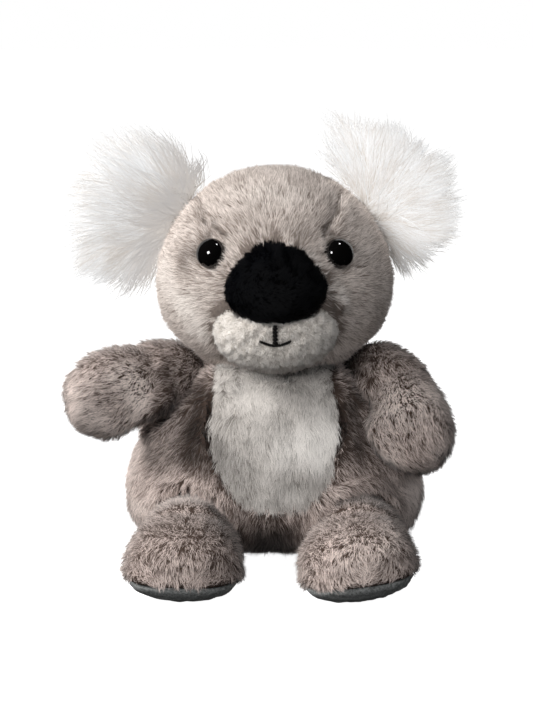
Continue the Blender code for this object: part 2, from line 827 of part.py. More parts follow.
def add_leg(side, sign, toe_out, roll, tree):
    place = hip(sign)
    level, heading, across, rise = leg_axes(sign, toe_out, roll)
    axes = (heading, across, rise)
    size = (FOOT_REACH, FOOT_HALF_WIDTH, FOOT_HALF_HEIGHT)
    hinge = Vector((-1, 0, 0))
    turns = swing_turns(LEG_SWING)

    def surface(faces):
        cage = limb_cage(place, axes, LEG_ROOT_RADIUS, LEG_OPENING_RADIUS, size, FOOT_SHARES, faces,
                         UNDERFOOT_ROUNDNESS)
        return pressed(softened(cage), tree, place, hinge, turns, LEG_ROOT_RADIUS)

    skin = skin_from(surface(LIMB_FACES), side + "_leg_skin")
    core = stuffing_from(surface(LIMB_CORE_FACES), side + "_leg_stuffing")
    sole = object_from(closed(surface(LIMB_FACES)), side + "_sole", parts)
    steep = asin((SOLE_TOE - SOLE_HEEL) / (LEG_ROOT_RADIUS + FOOT_REACH))
    toe = level * cos(steep) + rise * sin(steep)
    up = across.cross(toe)
    turn = Matrix((across, toe, up)).transposed().to_4x4()
    top = place + level * ((FOOT_REACH - LEG_ROOT_RADIUS) / 2)
    top.z = (SOLE_HEEL + SOLE_TOE) / 2
    below = block(top - up * (CUTTER_SIZE / 2), side + "_below_sole_top", turn)
    above = block(top + up * (CUTTER_SIZE / 2 - SEAM_GAP), side + "_above_sole", turn)
    cut(skin, below)
    cut(core, below)
    cut(sole, above)
    for piece in (skin, sole):
        cut(piece, floor)
    finish_piece(skin, "grey_plush", place)
    finish_piece(core, "fibre_fill", place)
    finish_piece(sole, "grey_felt", place)
    report_joint(side + "_leg_swing", place, hinge)


# Belly panel and pellet bag

BELLY_OUTLINE_SHARES = (
    # half width, height
    (0.0, 0.0),
    (0.42, 0.045),
    (0.78, 0.23),
    (0.98, 0.50),
    (0.97, 0.76),
    (0.84, 1.0),
)


def belly_outline(inset, name):
    """The panel's outline as a closed prism that reaches through the body's front."""
    half = [(share * BELLY_HALF_WIDTH, BELLY_BOTTOM + high * BELLY_HEIGHT)
            for share, high in BELLY_OUTLINE_SHARES]
    points = half + [(-across, high) for across, high in reversed(half[1:])]
    curve = bpy.data.curves.new(name, "CURVE")
    curve.dimensions = "2D"
    curve.fill_mode = "BOTH"
    curve.extrude = BODY_HALF_DEPTH / 2
    curve.offset = -inset
    run = curve.splines.new("POLY")
    run.points.add(len(points) - 1)
    run.use_cyclic_u = True
    for node, (across, high) in zip(run.points, points):
        node.co = (across, high, 0, 1.0)
    flat = bpy.data.objects.new(name, curve)
    cutters.objects.link(flat)
    flat.rotation_euler = (pi / 2, 0, 0)
    flat.location = (0, BODY_LEAN - BODY_HALF_DEPTH, 0)
    form = baked(flat)
    bpy.data.objects.remove(flat, do_unlink=True)
    bmesh.ops.remove_doubles(form, verts=form.verts, dist=WELD)
    bmesh.ops.recalc_face_normals(form, faces=form.faces)
    return add_cutter(name, form)


def pellet_form(extra):
    form = bmesh.new()
    bmesh.ops.create_uvsphere(form, u_segments=TURNED_STEPS, v_segments=TURNED_STEPS // 2, radius=1.0)
    size = Vector((PELLET_HALF_WIDTH + extra, PELLET_HALF_DEPTH + extra, PELLET_HEIGHT / 2 + extra))
    bmesh.ops.scale(form, verts=form.verts, vec=size)
    low = PLUSH_THICKNESS + PELLET_HEIGHT / 2
    forward = BODY_RING_SHARES[0][3] * BODY_HALF_DEPTH
    bmesh.ops.translate(form, verts=form.verts, vec=(0, BODY_LEAN - forward, low - PELLET_SINK))
    return form


def pellet_floor():
    """The room under the level that the pellet bag lies on, inside the seat."""
    level = PLUSH_THICKNESS + SEAM_GAP
    return block(Vector((0, 0, level - CUTTER_SIZE / 2)), "pellet_floor")


empty_scene()
parts = new_collection("plush_koala")
cutters = new_collection("cutters")
floor = block(Vector((0, 0, -CUTTER_SIZE / 2)), "floor")

body_skin = skin_from(softened(body_cage(BODY_FACES)), "body_skin")
body_core = stuffing_from(softened(body_cage(BODY_CORE_FACES)), "body_stuffing")
belly = skin_from(softened(body_cage(BODY_FACES)), "belly_panel")
body_form = closed(softened(body_cage(BODY_FACES)))
body_tree = BVHTree.FromBMesh(body_form)
cut(body_skin, belly_outline(0.0, "belly_window"))
cut(belly, belly_outline(SEAM_GAP, "belly_patch"), "INTERSECT")
for sign, label in ((1, "left"), (-1, "right")):
    socket = ball(shoulder(sign), ARM_ROOT_RADIUS + SOCKET_GAP, label + "_shoulder_socket")
    cup = ball(hip(sign), LEG_ROOT_RADIUS + SOCKET_GAP, label + "_hip_socket")
    for piece in (body_skin, body_core):
        cut(piece, socket)
        cut(piece, cup)
cut(body_skin, floor)
pellets = object_from(pellet_form(0.0), "pellet_bag", parts)
cut(pellets, pellet_floor())
cut(body_core, add_cutter("pellet_room", pellet_form(SEAM_GAP)))
finish_piece(body_skin, "grey_plush")
finish_piece(body_core, "fibre_fill")
finish_piece(belly, "white_plush")
finish_piece(pellets, "pellet_cloth")

neck = Vector((0, BODY_LEAN, HEAD_BASE))
head_skin = skin_from(softened(head_cage(HEAD_FACES)), "head_skin")
head_core = stuffing_from(softened(head_cage(HEAD_CORE_FACES)), "head_stuffing")
head_form = closed(softened(head_cage(HEAD_FACES)))
head_tree = BVHTree.FromBMesh(head_form)
head_room = add_cutter("head_room", shifted(head_form, SEAM_GAP))
nose = object_from(softened(nose_cage()), "nose", parts)
nose_room = add_cutter("nose_room", shifted(softened(nose_cage()), SEAM_GAP))
cut(nose, head_room)
muzzle = object_from(muzzle_form(), "muzzle", parts)
cut(muzzle, head_room)
cut(muzzle, nose_room)
stitch = mouth_stitch()
for sign, label in ((1, "left"), (-1, "right")):
    add_eye(label, sign, head_skin, head_core, head_tree)
add_ear("left", 1, LEFT_EAR_REACH, LEFT_EAR_SAG, head_tree)
add_ear("right", -1, RIGHT_EAR_REACH, RIGHT_EAR_SAG, head_tree)
finish_piece(head_skin, "grey_plush", neck)
finish_piece(head_core, "fibre_fill", neck)
finish_piece(nose, "black_plush")
finish_piece(muzzle, "cream_fleece")
finish_piece(stitch, "black_thread")
report_joint("head_turn", neck, Vector((0, 0, 1)))

add_arm("right", -1, RIGHT_ARM_HEADING, RIGHT_ARM_DROOP, RIGHT_ARM_SWING, body_tree)
add_arm("left", 1, LEFT_ARM_HEADING, LEFT_ARM_DROOP, LEFT_ARM_SWING, body_tree)
add_leg("right", -1, RIGHT_TOE_OUT, RIGHT_FOOT_ROLL, body_tree)
add_leg("left", 1, LEFT_TOE_OUT, LEFT_FOOT_ROLL, body_tree)
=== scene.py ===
"""Dresses the sitting plush koala: stuffed forms, and the pile, fleece, felt, thread and eyes on them."""

from math import cos, pi, radians, sin

import bmesh
import bpy
import numpy as np
from bpy.props import FloatProperty, FloatVectorProperty, PointerProperty
from mathutils import Matrix, Vector
from mathutils.bvhtree import BVHTree


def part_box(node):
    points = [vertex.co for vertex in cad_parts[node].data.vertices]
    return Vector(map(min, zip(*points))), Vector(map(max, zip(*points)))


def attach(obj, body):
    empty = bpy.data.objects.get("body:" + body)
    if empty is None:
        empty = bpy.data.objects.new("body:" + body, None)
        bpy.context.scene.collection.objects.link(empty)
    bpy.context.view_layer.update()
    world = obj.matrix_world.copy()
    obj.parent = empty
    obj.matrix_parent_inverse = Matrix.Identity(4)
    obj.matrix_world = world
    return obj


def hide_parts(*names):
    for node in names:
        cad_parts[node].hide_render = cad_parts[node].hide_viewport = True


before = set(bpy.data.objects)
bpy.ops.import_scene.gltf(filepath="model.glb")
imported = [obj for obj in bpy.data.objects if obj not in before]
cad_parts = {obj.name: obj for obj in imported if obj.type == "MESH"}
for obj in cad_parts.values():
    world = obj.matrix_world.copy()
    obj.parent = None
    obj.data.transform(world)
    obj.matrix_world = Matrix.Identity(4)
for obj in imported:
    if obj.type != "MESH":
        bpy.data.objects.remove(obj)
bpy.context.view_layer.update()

bl_info = {
    "name": "Sitting plush koala",
    "version": (1, 0, 0),
    "blender": (4, 5, 0),
    "location": "View3D > Sidebar > Koala",
    "description": "Plush pile, fleece, felt, thread and glossy eyes for a sitting koala",
    "category": "Object",
}

MM = 0.001
LEFT, RIGHT = 1, -1
SIDES = ((LEFT, "left"), (RIGHT, "right"))
BACK = np.array([0.0, 1.0, 0.0])
UP = np.array([0.0, 0.0, 1.0])

# How far the stuffed forms lie inside the solids, which leaves room for their pile.
BODY_INSET = 1.8 * MM
LIMB_INSET = 1.6 * MM

# Places that the solids share, from the same sewing pattern.
NECK = Vector((0, -3.0, 62.05)) * MM
HEAD_HALF = Vector((39.6, 36.5, 33.6)) * MM
# How far an eye sits to the side of the head's middle and above it, its dome's height and its radius.
EYE_ACROSS = 20.8 * MM
EYE_UP = 12.75 * MM
EYE_DOME = 3.6 * MM
EYE_RADIUS = 4.9 * MM
EAR_ANGLE = radians(29.5)
EAR_SEAM = np.array([34.8, 1.0, 112.7]) * MM
SHOULDER = Vector((36.0, -9.0, 57.5)) * MM
HIP = Vector((26.5, -35.0, 14.0)) * MM
SHOULDER_SOCKET = 14.4 * MM
HIP_SOCKET = 15.6 * MM
# How far each arm turns to the front and droops.
ARM_TURNS = {"right": (radians(38), 0.0), "left": (radians(64), radians(27))}
# Half the belly panel's width at each height.
BELLY_OUTLINE = np.array([
    (0.0, 24.5), (9.0, 26.3), (16.8, 33.6), (21.1, 44.3), (20.9, 54.5), (18.1, 64.0),
]) * MM


# Small tools

def linear(code):
    """An sRGB hex colour as the linear colour that a shader takes."""
    parts = [int(code[at:at + 2], 16) / 255 for at in (0, 2, 4)]
    return tuple(part / 12.92 if part <= 0.04045 else ((part + 0.055) / 1.055) ** 2.4 for part in parts)


def add(tree, kind, settings=None, feeds=None):
    """Adds one node. Settings name its properties or input sockets, and feeds link its inputs."""
    node = tree.nodes.new(kind)
    for key, value in (settings or {}).items():
        if isinstance(key, str) and hasattr(node, key):
            setattr(node, key, value)
        else:
            node.inputs[key].default_value = value
    for key, source in (feeds or {}).items():
        tree.links.new(source, node.inputs[key])
    return node


def colour4(value):
    """A colour with full alpha, as a socket takes it."""
    return (*value[:3], 1.0)


def unit(vectors):
    """The vectors at length 1."""
    return vectors / np.maximum(np.linalg.norm(vectors, axis=-1, keepdims=True), 1e-9)


def along_surface(vectors, normals):
    """The part of each vector that lies along the surface, at unit length."""
    return unit(vectors - normals * np.sum(vectors * normals, axis=1, keepdims=True))


def on_side(place, sign):
    """A place given for the koala's left, or its mirror image on the right."""
    return np.array(place) * (sign, 1, 1)


def ramp(values, start, run):
    """0 up to the start, rising to 1 over the run."""
    return np.clip((values - start) / run, 0, 1)


def ripple(points, wavelength, seed, waves=4):
    """A smooth random vector at each point, which changes over about one wavelength."""
    rng = np.random.default_rng(seed)
    total = np.zeros_like(points)
    for axis in range(3):
        for _ in range(waves):
            way = unit(rng.normal(size=3)) * (2 * pi / wavelength) * rng.uniform(0.6, 1.5)
            total[:, axis] += np.sin(points @ way + rng.uniform(0, 2 * pi))
    return total / np.sqrt(waves)


def ruffled(ways, points, *ruffles):
    """The ways turned by ripples, each given by its strength, its wavelength and its seed."""
    for strength, wavelength, seed in ruffles:
        ways = ways + strength * ripple(points, wavelength, seed)
    return ways


def varied(points, share, wavelength, seed):
    """A factor near 1 that varies from place to place by about the share."""
    return 1 + share * ripple(points, wavelength, seed)[:, 0]


def swaying(angle, points, amount, wavelength, seed):
    """An angle that varies from place to place by about the amount."""
    return angle + amount * ripple(points, wavelength, seed)[:, 1]


def apart(points, place):
    """How far each point is from a place."""
    return np.linalg.norm(points - place, axis=1)


def from_neck(points):
    """How far each point is from the neck's upright middle line."""
    return np.hypot(points[:, 0], points[:, 1] - NECK.y)


def bump(points, centre, radius):
    """1 at the centre, falling smoothly to 0 past the radius."""
    gap = np.linalg.norm((points - np.asarray(centre)) / np.asarray(radius), axis=1)
    return np.exp(-gap ** 2 * 1.5)


def along_path(points, path, width):
    """1 on a path, falling smoothly to 0 past its width."""
    path = np.asarray(path, float)
    nearest = np.full(len(points), np.inf)
    for start, end in zip(path, path[1:]):
        run = end - start
        at = np.clip((points - start) @ run / max(run @ run, 1e-12), 0, 1)
        nearest = np.minimum(nearest, apart(points - start, at[:, None] * run))
    return np.exp(-(nearest / width) ** 2)


def on_surface(path, places, count=12):
    """The path in more, even steps, each moved to the nearest of the places."""
    path = np.asarray(path, float)
    at = np.linspace(0, len(path) - 1, count)
    even = np.stack([np.interp(at, np.arange(len(path)), path[:, axis]) for axis in range(3)], axis=1)
    return np.array([places[np.argmin(apart(places, point))] for point in even])


def inside_outline(points, outline, grow=0.0):
    """Which points on the front lie in a left-right mirrored outline, seen from in front."""
    wide = np.interp(points[:, 2], outline[:, 1], outline[:, 0])
    high = (points[:, 2] > outline[0, 1] - grow) & (points[:, 2] < outline[-1, 1] + grow)
    return high & (np.abs(points[:, 0]) < wide + grow) & (points[:, 1] < -15 * MM)


# Forms

# The stuffed forms that stand, and their search trees, by name.
FORMS = {}
TREES = {}


def triples(source, name):
    """A three-part property of a mesh's elements as rows."""
    values = np.empty(len(source) * 3, np.float32)
    source.foreach_get(name, values)
    return values.reshape(-1, 3).astype(float)


def coords(mesh):
    return triples(mesh.vertices, "co")


def vertex_ways(mesh):
    """The way that each vertex faces."""
    return triples(mesh.vertex_normals, "vector")


def set_coords(mesh, values):
    mesh.vertices.foreach_set("co", values.astype(np.float32).ravel())
    mesh.update()


def show(piece, material):
    """Puts a piece in the scene with its one material."""
    bpy.context.scene.collection.objects.link(piece)
    piece.data.materials.clear()
    piece.data.materials.append(material)
    return piece


def largest_part(form):
    """Keeps only the largest closed surface of a form."""
    left = set(form.verts)
    groups = []
    while left:
        front = [left.pop()]
        group = list(front)
        while front:
            vert = front.pop()
            for edge in vert.link_edges:
                other = edge.other_vert(vert)
                if other in left:
                    left.discard(other)
                    front.append(other)
                    group.append(other)
        groups.append(group)
    groups.sort(key=len)
    spare = [vert for group in groups[:-1] for vert in group]
    bmesh.ops.delete(form, geom=spare, context="VERTS")


def stuffed_form(name, nodes, material, voxel, inset, passes, sculpt=None, trim=None):
    """One closed, relaxed form over the fixed nodes, set in by the pile's depth.

    A trim then moves its points, and a sculpt gives how far each is pushed out."""
    form = bmesh.new()
    for node in nodes:
        form.from_mesh(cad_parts[node].data)
    solids = bpy.data.meshes.new(name)
    form.to_mesh(solids)
    form.free()
    piece = show(bpy.data.objects.new(name, solids), material)
    remesh = piece.modifiers.new("remesh", "REMESH")
    remesh.mode = "VOXEL"
    remesh.voxel_size = voxel
    relax = piece.modifiers.new("relax", "SMOOTH")
    relax.factor = 0.5
    relax.iterations = passes
    shape = bpy.data.meshes.new_from_object(piece.evaluated_get(bpy.context.evaluated_depsgraph_get()))
    piece.modifiers.clear()
    form = bmesh.new()
    form.from_mesh(shape)
    largest_part(form)
    form.to_mesh(shape)
    form.free()
    piece.data = shape
    bpy.data.meshes.remove(solids)
    shape.name = name
    shape.materials.clear()
    shape.materials.append(material)
    shape.shade_smooth()
    places, normals = coords(shape), vertex_ways(shape)
    places -= normals * inset
    if trim:
        places = trim(places)
    if sculpt:
        places += normals * sculpt(places)[:, None]
    places[:, 2] = np.maximum(places[:, 2], 0.0)
    set_coords(shape, places)
    return piece


def tree_of(piece):
    mesh = piece.data
    return BVHTree.FromPolygons([v.co for v in mesh.vertices], [tuple(p.vertices) for p in mesh.polygons])


def keep_form(name, piece, body, slot, fill, *nodes):
    """Declares a stuffed form: the body it rides on and the nodes it stands for. The fill, how full it is, is
    not used.
    """
    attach(piece, body)
    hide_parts(*nodes)
    FORMS[name] = piece
    TREES[name] = tree_of(piece)


def gap_to(tree, points):
    """How far each point lies from a form."""
    return np.array([tree.find_nearest(point)[3] for point in points])


def room_to(points, neighbours, reach):
    """How much room each point has before its neighbours, from 0 at touching or inside to 1 at the reach."""
    room = np.ones(len(points))
    for name in neighbours:
        for index, point in enumerate(points):
            place, normal, _, gap = TREES[name].find_nearest(point, reach)
            if place is not None:
                inside = (Vector(point) - place).dot(normal) < 0
                room[index] = 0 if inside else min(room[index], gap / reach)
    return room


def with_room(points, normals, neighbours, reach, least, lift=MM):
    """The roots that have more than the least room before their neighbours, and how much each has."""
    room = room_to(points + normals * lift, neighbours, reach)
    kept = room > least
    return points[kept], normals[kept], room[kept]


def laid(ways, normals, flattest):
    """The comb direction and the lean from the normal that lay a blade along a wanted way."""
    lean = np.arccos(np.clip(np.sum(unit(ways) * normals, axis=1), -1, 1))
    return along_surface(ways, normals), np.minimum(lean, flattest)


# Pile

def scattered(piece, spacing, seed):
    """Points about one spacing apart over a form, with the surface's normals there."""
    mesh = piece.data
    mesh.calc_loop_triangles()
    corners = np.empty(len(mesh.loop_triangles) * 3, np.int32)
    mesh.loop_triangles.foreach_get("vertices", corners)
    corners = corners.reshape(-1, 3)
    places, normals = coords(mesh), vertex_ways(mesh)
    a, b, c = (places[corners[:, k]] for k in range(3))
    area = np.linalg.norm(np.cross(b - a, c - a), axis=1) / 2
    rng = np.random.default_rng(seed)
    count = int(area.sum() / spacing ** 2 * 4)
    chosen = rng.choice(len(area), count, p=area / area.sum())
    u, v = rng.random(count), rng.random(count)
    over = u + v > 1
    u[over], v[over] = 1 - u[over], 1 - v[over]
    share = np.stack([1 - u - v, u, v], axis=1)[:, :, None]
    picked = corners[chosen]
    points = (places[picked] * share).sum(axis=1)
    ways = unit((normals[picked] * share).sum(axis=1))
    cells = np.floor(points / spacing + rng.random(3)).astype(np.int64)
    first = np.unique(cells, axis=0, return_index=True)[1]
    first.sort()
    return points[first], ways[first]


SHORT_ROWS = (0.0, 0.55)
LONG_ROWS = (0.0, 0.42, 0.78)
MOST_BLADES = 64000

# Kinds of pile, by their finish: the slot, where a blade's rows lie along it, blades to a lock, how wide a
# lock stands, how far its tips draw together, a blade's width, how its length, way and bend vary, how deep it
# is rooted, how far it rises before it bends over, and how much it takes its light by the way the pile faces.
STYLES = {
    "beige": {"slot": "grey_plush", "rows": SHORT_ROWS, "blades": 8, "spread": 0.8 * MM, "gather": 0.4,
              "width": 0.21 * MM, "uneven": 0.14, "stray": 0.20, "curl": 0.0, "sink": 0.4 * MM, "rise": 0.40,
              "soft": 0.8},
    "taupe": {"slot": "grey_plush", "rows": SHORT_ROWS, "blades": 10, "spread": 1.15 * MM, "gather": 0.5,
              "width": 0.25 * MM, "uneven": 0.16, "stray": 0.22, "curl": 0.05, "sink": 0.5 * MM, "rise": 0.42,
              "soft": 0.8},
    "belly": {"slot": "white_plush", "rows": LONG_ROWS, "blades": 9, "spread": 1.2 * MM, "gather": 0.45,
              "width": 0.23 * MM, "uneven": 0.16, "stray": 0.16, "curl": 0.1, "sink": 0.5 * MM, "rise": 0.36,
              "soft": 0.8},
    "cream": {"slot": "cream_fleece", "rows": SHORT_ROWS, "blades": 9, "spread": 0.7 * MM, "gather": 0.5,
              "width": 0.24 * MM, "uneven": 0.2, "stray": 0.8, "curl": 0.1, "sink": 0.3 * MM, "rise": 0.5,
              "soft": 0.9},
    "black": {"slot": "black_plush", "rows": SHORT_ROWS, "blades": 8, "spread": 0.6 * MM, "gather": 0.45,
              "width": 0.22 * MM, "uneven": 0.15, "stray": 0.25, "curl": 0.0, "sink": 0.3 * MM, "rise": 0.45,
              "soft": 0.6},
    "white": {"slot": "white_plush", "rows": LONG_ROWS, "blades": 11, "spread": 1.4 * MM, "gather": 0.4,
              "width": 0.21 * MM, "uneven": 0.2, "stray": 0.15, "curl": 0.16, "sink": 0.5 * MM, "rise": 0.28,
              "soft": 0.88},
}


def grow(name, body, finish, seed, roots, normals, comb, length, lean, painted_light_level=None, facing=None):
    """Grows a pile of tapered, bent blades on a body, in locks whose tips draw together.

    Each root is a lock. Its blades stand round it and end near one tip, which leans from
    the normal towards the comb direction. The colour attribute holds how far along its
    blade a point is, the lock's and the blade's own chance, and the painted light at the
    lock: painted highlights above 0, painted shade below. A dense pile comes as several
    meshes, from the front to the back. Long hair takes its light by the way it faces,
    which the normals may leave to the facing."""
    style = STYLES[finish]
    painted_light_level = np.zeros(len(roots)) if painted_light_level is None else painted_light_level
    facing = normals if facing is None else facing
    order = np.argsort(roots[:, 1], kind="stable")
    most = MOST_BLADES * 3 // (2 * len(style["rows"]) - 1)
    parts = int(np.ceil(len(roots) * style["blades"] / most))
    for part, chosen in enumerate(np.array_split(order, parts)):
        own = name if parts == 1 else f"{name}_{part + 1}"
        piece = blades(own, roots[chosen], normals[chosen], comb[chosen], length[chosen], lean[chosen],
                       style, look(finish), seed + 1000 * part, painted_light_level[chosen], facing[chosen])
        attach(piece, body)
        # Fine hair lets light through, so the pile casts no shadows on itself: the shade between its hairs is
        # painted shade in its colour, darker towards the roots.
        piece.visible_shadow = False


def blades(name, roots, normals, comb, length, lean, style, material, seed, painted_light_level, facing):
    """One mesh of a pile."""
    rng = np.random.default_rng(seed)
    steps = np.array(style["rows"])
    count = len(roots) * style["blades"]
    lock = np.repeat(np.arange(len(roots)), style["blades"])
    normal, way = normals[lock], comb[lock]
    side = np.cross(normal, way)
    spread = style["spread"] * np.sqrt(rng.random(count))
    turn = rng.random(count) * 2 * pi
    offset = way * (np.cos(turn) * spread)[:, None] + side * (np.sin(turn) * spread)[:, None]
    reach = length[lock] * (1 + style["uneven"] * rng.normal(size=count)).clip(0.45, 1.5)
    tilt = lean[lock] + style["stray"] * 0.5 * rng.normal(size=count)
    bent = unit(way + side * (style["stray"] * rng.normal(size=count))[:, None])
    base = roots[lock] + offset - normal * style["sink"]
    tip = (roots[lock] + offset * (1 - style["gather"]) + normal * (reach * np.cos(tilt))[:, None]
           + bent * (reach * np.sin(tilt))[:, None])
    curl = style["curl"] * reach * (rng.normal(size=len(roots))[lock] + 0.5 * rng.normal(size=count))
    middle = (base + normal * (reach * style["rise"])[:, None] + bent * (reach * 0.12)[:, None]
              + side * curl[:, None])
    rows = steps[None, :, None]
    lower, upper, last = (x[:, None, :] for x in (base, middle, tip))
    spine = lower * (1 - rows) ** 2 + upper * 2 * rows * (1 - rows) + last * rows ** 2
    run = unit((upper - lower) * (1 - rows) + (last - upper) * rows)
    face = normal + 0.45 * (side * rng.normal(size=(count, 1)) + way * rng.normal(size=(count, 1)))
    across = unit(np.cross(run, face[:, None, :]))
    # Every blade faces away from the surface, so that none is lit from its back.
    outward = np.sign(np.sum(np.cross(across[:, -1], run[:, -1]) * normal, axis=1) + 1e-9)
    across *= outward[:, None, None]
    width = style["width"] * (1 + 0.3 * rng.normal(size=count)).clip(0.4, 1.8)
    half = across * (width[:, None] * (1.0 - steps ** 2 * 0.6)[None, :])[:, :, None] / 2
    corners = np.stack([spine - half, spine + half], axis=2).reshape(count, -1, 3)
    verts = np.concatenate([corners, tip[:, None, :]], axis=1)
    verts[:, :, 2] = np.maximum(verts[:, :, 2], 0.2 * MM)
    per = verts.shape[1]

    flat = np.cross(across, run)
    flat *= np.sign(np.sum(flat * normal[:, None, :], axis=2, keepdims=True) + 1e-9)
    lit = unit(facing[lock][:, None, :] * style["soft"] + flat * (1 - style["soft"]))
    lit = np.concatenate([np.repeat(lit, 2, axis=1), lit[:, -1:, :]], axis=1)

    start = (np.arange(count) * per)[:, None]
    quads = len(steps) - 1
    loops = [start + np.array([2 * k, 2 * k + 1, 2 * k + 3, 2 * k + 2]) for k in range(quads)]
    loops.append(start + np.array([2 * quads, 2 * quads + 1, 2 * quads + 2]))
    loops = np.concatenate(loops, axis=1)
    sizes = np.tile([4] * quads + [3], count)
    mesh = bpy.data.meshes.new(name)
    mesh.vertices.add(count * per)
    mesh.vertices.foreach_set("co", verts.astype(np.float32).ravel())
    mesh.loops.add(loops.size)
    mesh.loops.foreach_set("vertex_index", loops.astype(np.int32).ravel())
    mesh.polygons.add(len(sizes))
    starts = np.concatenate([[0], np.cumsum(sizes)[:-1]])
    mesh.polygons.foreach_set("loop_start", starts.astype(np.int32))
    mesh.update(calc_edges=True)

    along = np.repeat(np.append(steps, 1.0), [2] * len(steps) + [1])
    shade = np.ones((count, per, 4), np.float32)
    shade[:, :, 0] = along
    shade[:, :, 1] = rng.random(len(roots))[lock][:, None]
    shade[:, :, 2] = rng.random(count)[:, None]
    # The alpha holds the painted light: painted highlights above 0, painted shade below.
    shade[:, :, 3] = painted_light_level[lock][:, None]
    mesh.attributes.new("pile", "FLOAT_COLOR", "POINT").data.foreach_set("color", shade.ravel())
    lit = lit.astype(np.float32)
    mesh.attributes.new("lit", "FLOAT_VECTOR", "POINT").data.foreach_set("vector", lit.ravel())

    # Each blade has a small cell of its own in the UV layout that its colour can be baked to.
    grid = int(np.ceil(np.sqrt(count)))
    corner = np.stack([np.arange(count) % grid, np.arange(count) // grid], axis=1)[:, None, :]
    sway = np.array([0.15, 0.85] * len(steps) + [0.5])
    cell = np.stack([sway, 0.1 + 0.8 * along], axis=1)[None, :, :]
    spots = ((corner + cell) / grid).reshape(-1, 2)[loops.ravel()]
    mesh.uv_layers.new(name="OFBake").data.foreach_set("uv", spots.astype(np.float32).ravel())
    mesh.normals_split_custom_set_from_vertices(lit.reshape(-1, 3))
    return show(bpy.data.objects.new(name, mesh), material)


def painted_light(points, strokes):
    """The painted light at each point: above 0 a painted highlight, below 0 painted shade."""
    return sum(amount * bump(points, np.array(centre) * MM, np.array(radius) * MM)
               for centre, radius, amount in strokes)


def drawn_together(points, ways, length, size, pull, seed):
    """The ways and lengths of locks whose tips are drawn to those of tufts of about a size."""
    tips = points + unit(ways) * length[:, None]
    rng = np.random.default_rng(seed)
    cells = np.floor(points / size + rng.random(3)).astype(np.int64)
    first, cell = np.unique(cells, axis=0, return_index=True, return_inverse=True)[1:]
    tips += pull * (tips[first][cell.ravel()] - tips)
    drawn = tips - points
    return drawn, np.linalg.norm(drawn, axis=1)


# Materials

def blank_material(name):
    """A new material and its empty node tree."""
    made = bpy.data.materials.new(name)
    made.use_nodes = True
    made.node_tree.nodes.clear()
    return made, made.node_tree


def pile_material(name, root, tip, pale, rough, sheen, hair, lock, patch):
    """A dyed pile with painted shade and light: darker towards the roots, painted shade between the hairs,
    pale at their ends, and uneven by hair, lock and patch.

    The painted light, in the colour attribute's alpha, turns the hairs' ends towards the pale
    colour above 0 as a painted highlight (on the ears' white, towards the brown-grey painted shade),
    and below 0 shows more of their depth as painted shade."""
    made, tree = blank_material(name)
    pile = add(tree, "ShaderNodeAttribute", {"attribute_name": "pile"})
    parts = add(tree, "ShaderNodeSeparateColor", {}, {"Color": pile.outputs["Color"]})
    # The alpha holds the painted light: painted highlights above 0, painted shade below.
    nap = pile.outputs["Alpha"]
    # Darker towards the root: painted shade between the hairs, since the pile casts no shadows on itself.
    rise = add(tree, "ShaderNodeMapRange",
               {"From Min": 0.3, "From Max": 1.0, "To Min": 0.0, "To Max": 0.95},
               {"Value": parts.outputs["Red"]})
    place = add(tree, "ShaderNodeTexCoord")
    # Brushed patches about 12 mm across, where the nap lies another way and looks darker.
    cloud = add(tree, "ShaderNodeTexNoise", {"Scale": 1 / (12 * MM), "Detail": 2.0, "Roughness": 0.6},
                {"Vector": place.outputs["Object"]})
    value = rise.outputs["Result"]
    # The last drift is the painted light: painted highlights above 0, painted shade below.
    drifts = ((parts.outputs["Green"], 0.0, 1.0, -lock, lock), (parts.outputs["Blue"], 0.0, 1.0, -hair, hair),
              (cloud.outputs["Fac"], 0.3, 0.7, -patch, patch), (nap, -2.0, 2.0, -0.5, 0.5))
    for source, low, high, least, most in drifts:
        drift = add(tree, "ShaderNodeMapRange",
                    {"From Min": low, "From Max": high, "To Min": least, "To Max": most}, {"Value": source})
        value = add(tree, "ShaderNodeMath", {"operation": "ADD"},
                    {0: value, 1: drift.outputs["Result"]}).outputs[0]
    # Painted highlights also lift the roots towards the ends' colour.
    half = add(tree, "ShaderNodeMath", {"operation": "MULTIPLY", 1: 0.45}, {0: nap})
    low = add(tree, "ShaderNodeMix", {"data_type": "RGBA", 6: colour4(root), 7: colour4(tip)},
              {0: half.outputs[0]})
    ends = add(tree, "ShaderNodeMix", {"data_type": "RGBA", 6: colour4(tip), 7: colour4(pale)}, {0: nap})
    dyed = add(tree, "ShaderNodeMix", {"data_type": "RGBA"}, {0: value, 6: low.outputs[2], 7: ends.outputs[2]})
    # Painted shade: where the painted light lies well below 0, between parts and in cast shadows, the pile is
    # darker all over.
    deep = add(tree, "ShaderNodeMapRange",
               {"From Min": -2.4, "From Max": -0.3, "To Min": 0.2, "To Max": 1.0}, {"Value": nap})
    shaded = add(tree, "ShaderNodeVectorMath", {"operation": "SCALE"},
                 {0: dyed.outputs[2], "Scale": deep.outputs["Result"]})
    # A hair takes light alike from both its sides, by the way its pile faces, and lets a little through.
    facing = add(tree, "ShaderNodeAttribute", {"attribute_name": "lit"})
    turned = add(tree, "ShaderNodeVectorTransform",
                 {"vector_type": "NORMAL", "convert_from": "OBJECT", "convert_to": "WORLD"},
                 {"Vector": facing.outputs["Vector"]})
    skin = add(tree, "ShaderNodeBsdfPrincipled",
               {"Roughness": rough, "IOR": 1.5, "Specular IOR Level": 0.25, "Sheen Weight": sheen,
                "Sheen Roughness": 0.5},
               {"Base Color": shaded.outputs["Vector"], "Normal": turned.outputs["Vector"]})
    through = add(tree, "ShaderNodeBsdfTranslucent", {},
                  {"Color": shaded.outputs["Vector"], "Normal": turned.outputs["Vector"]})
    both = add(tree, "ShaderNodeMixShader", {0: 0.1}, {1: skin.outputs[0], 2: through.outputs[0]})
    add(tree, "ShaderNodeOutputMaterial", {}, {"Surface": both.outputs[0]})
    return made


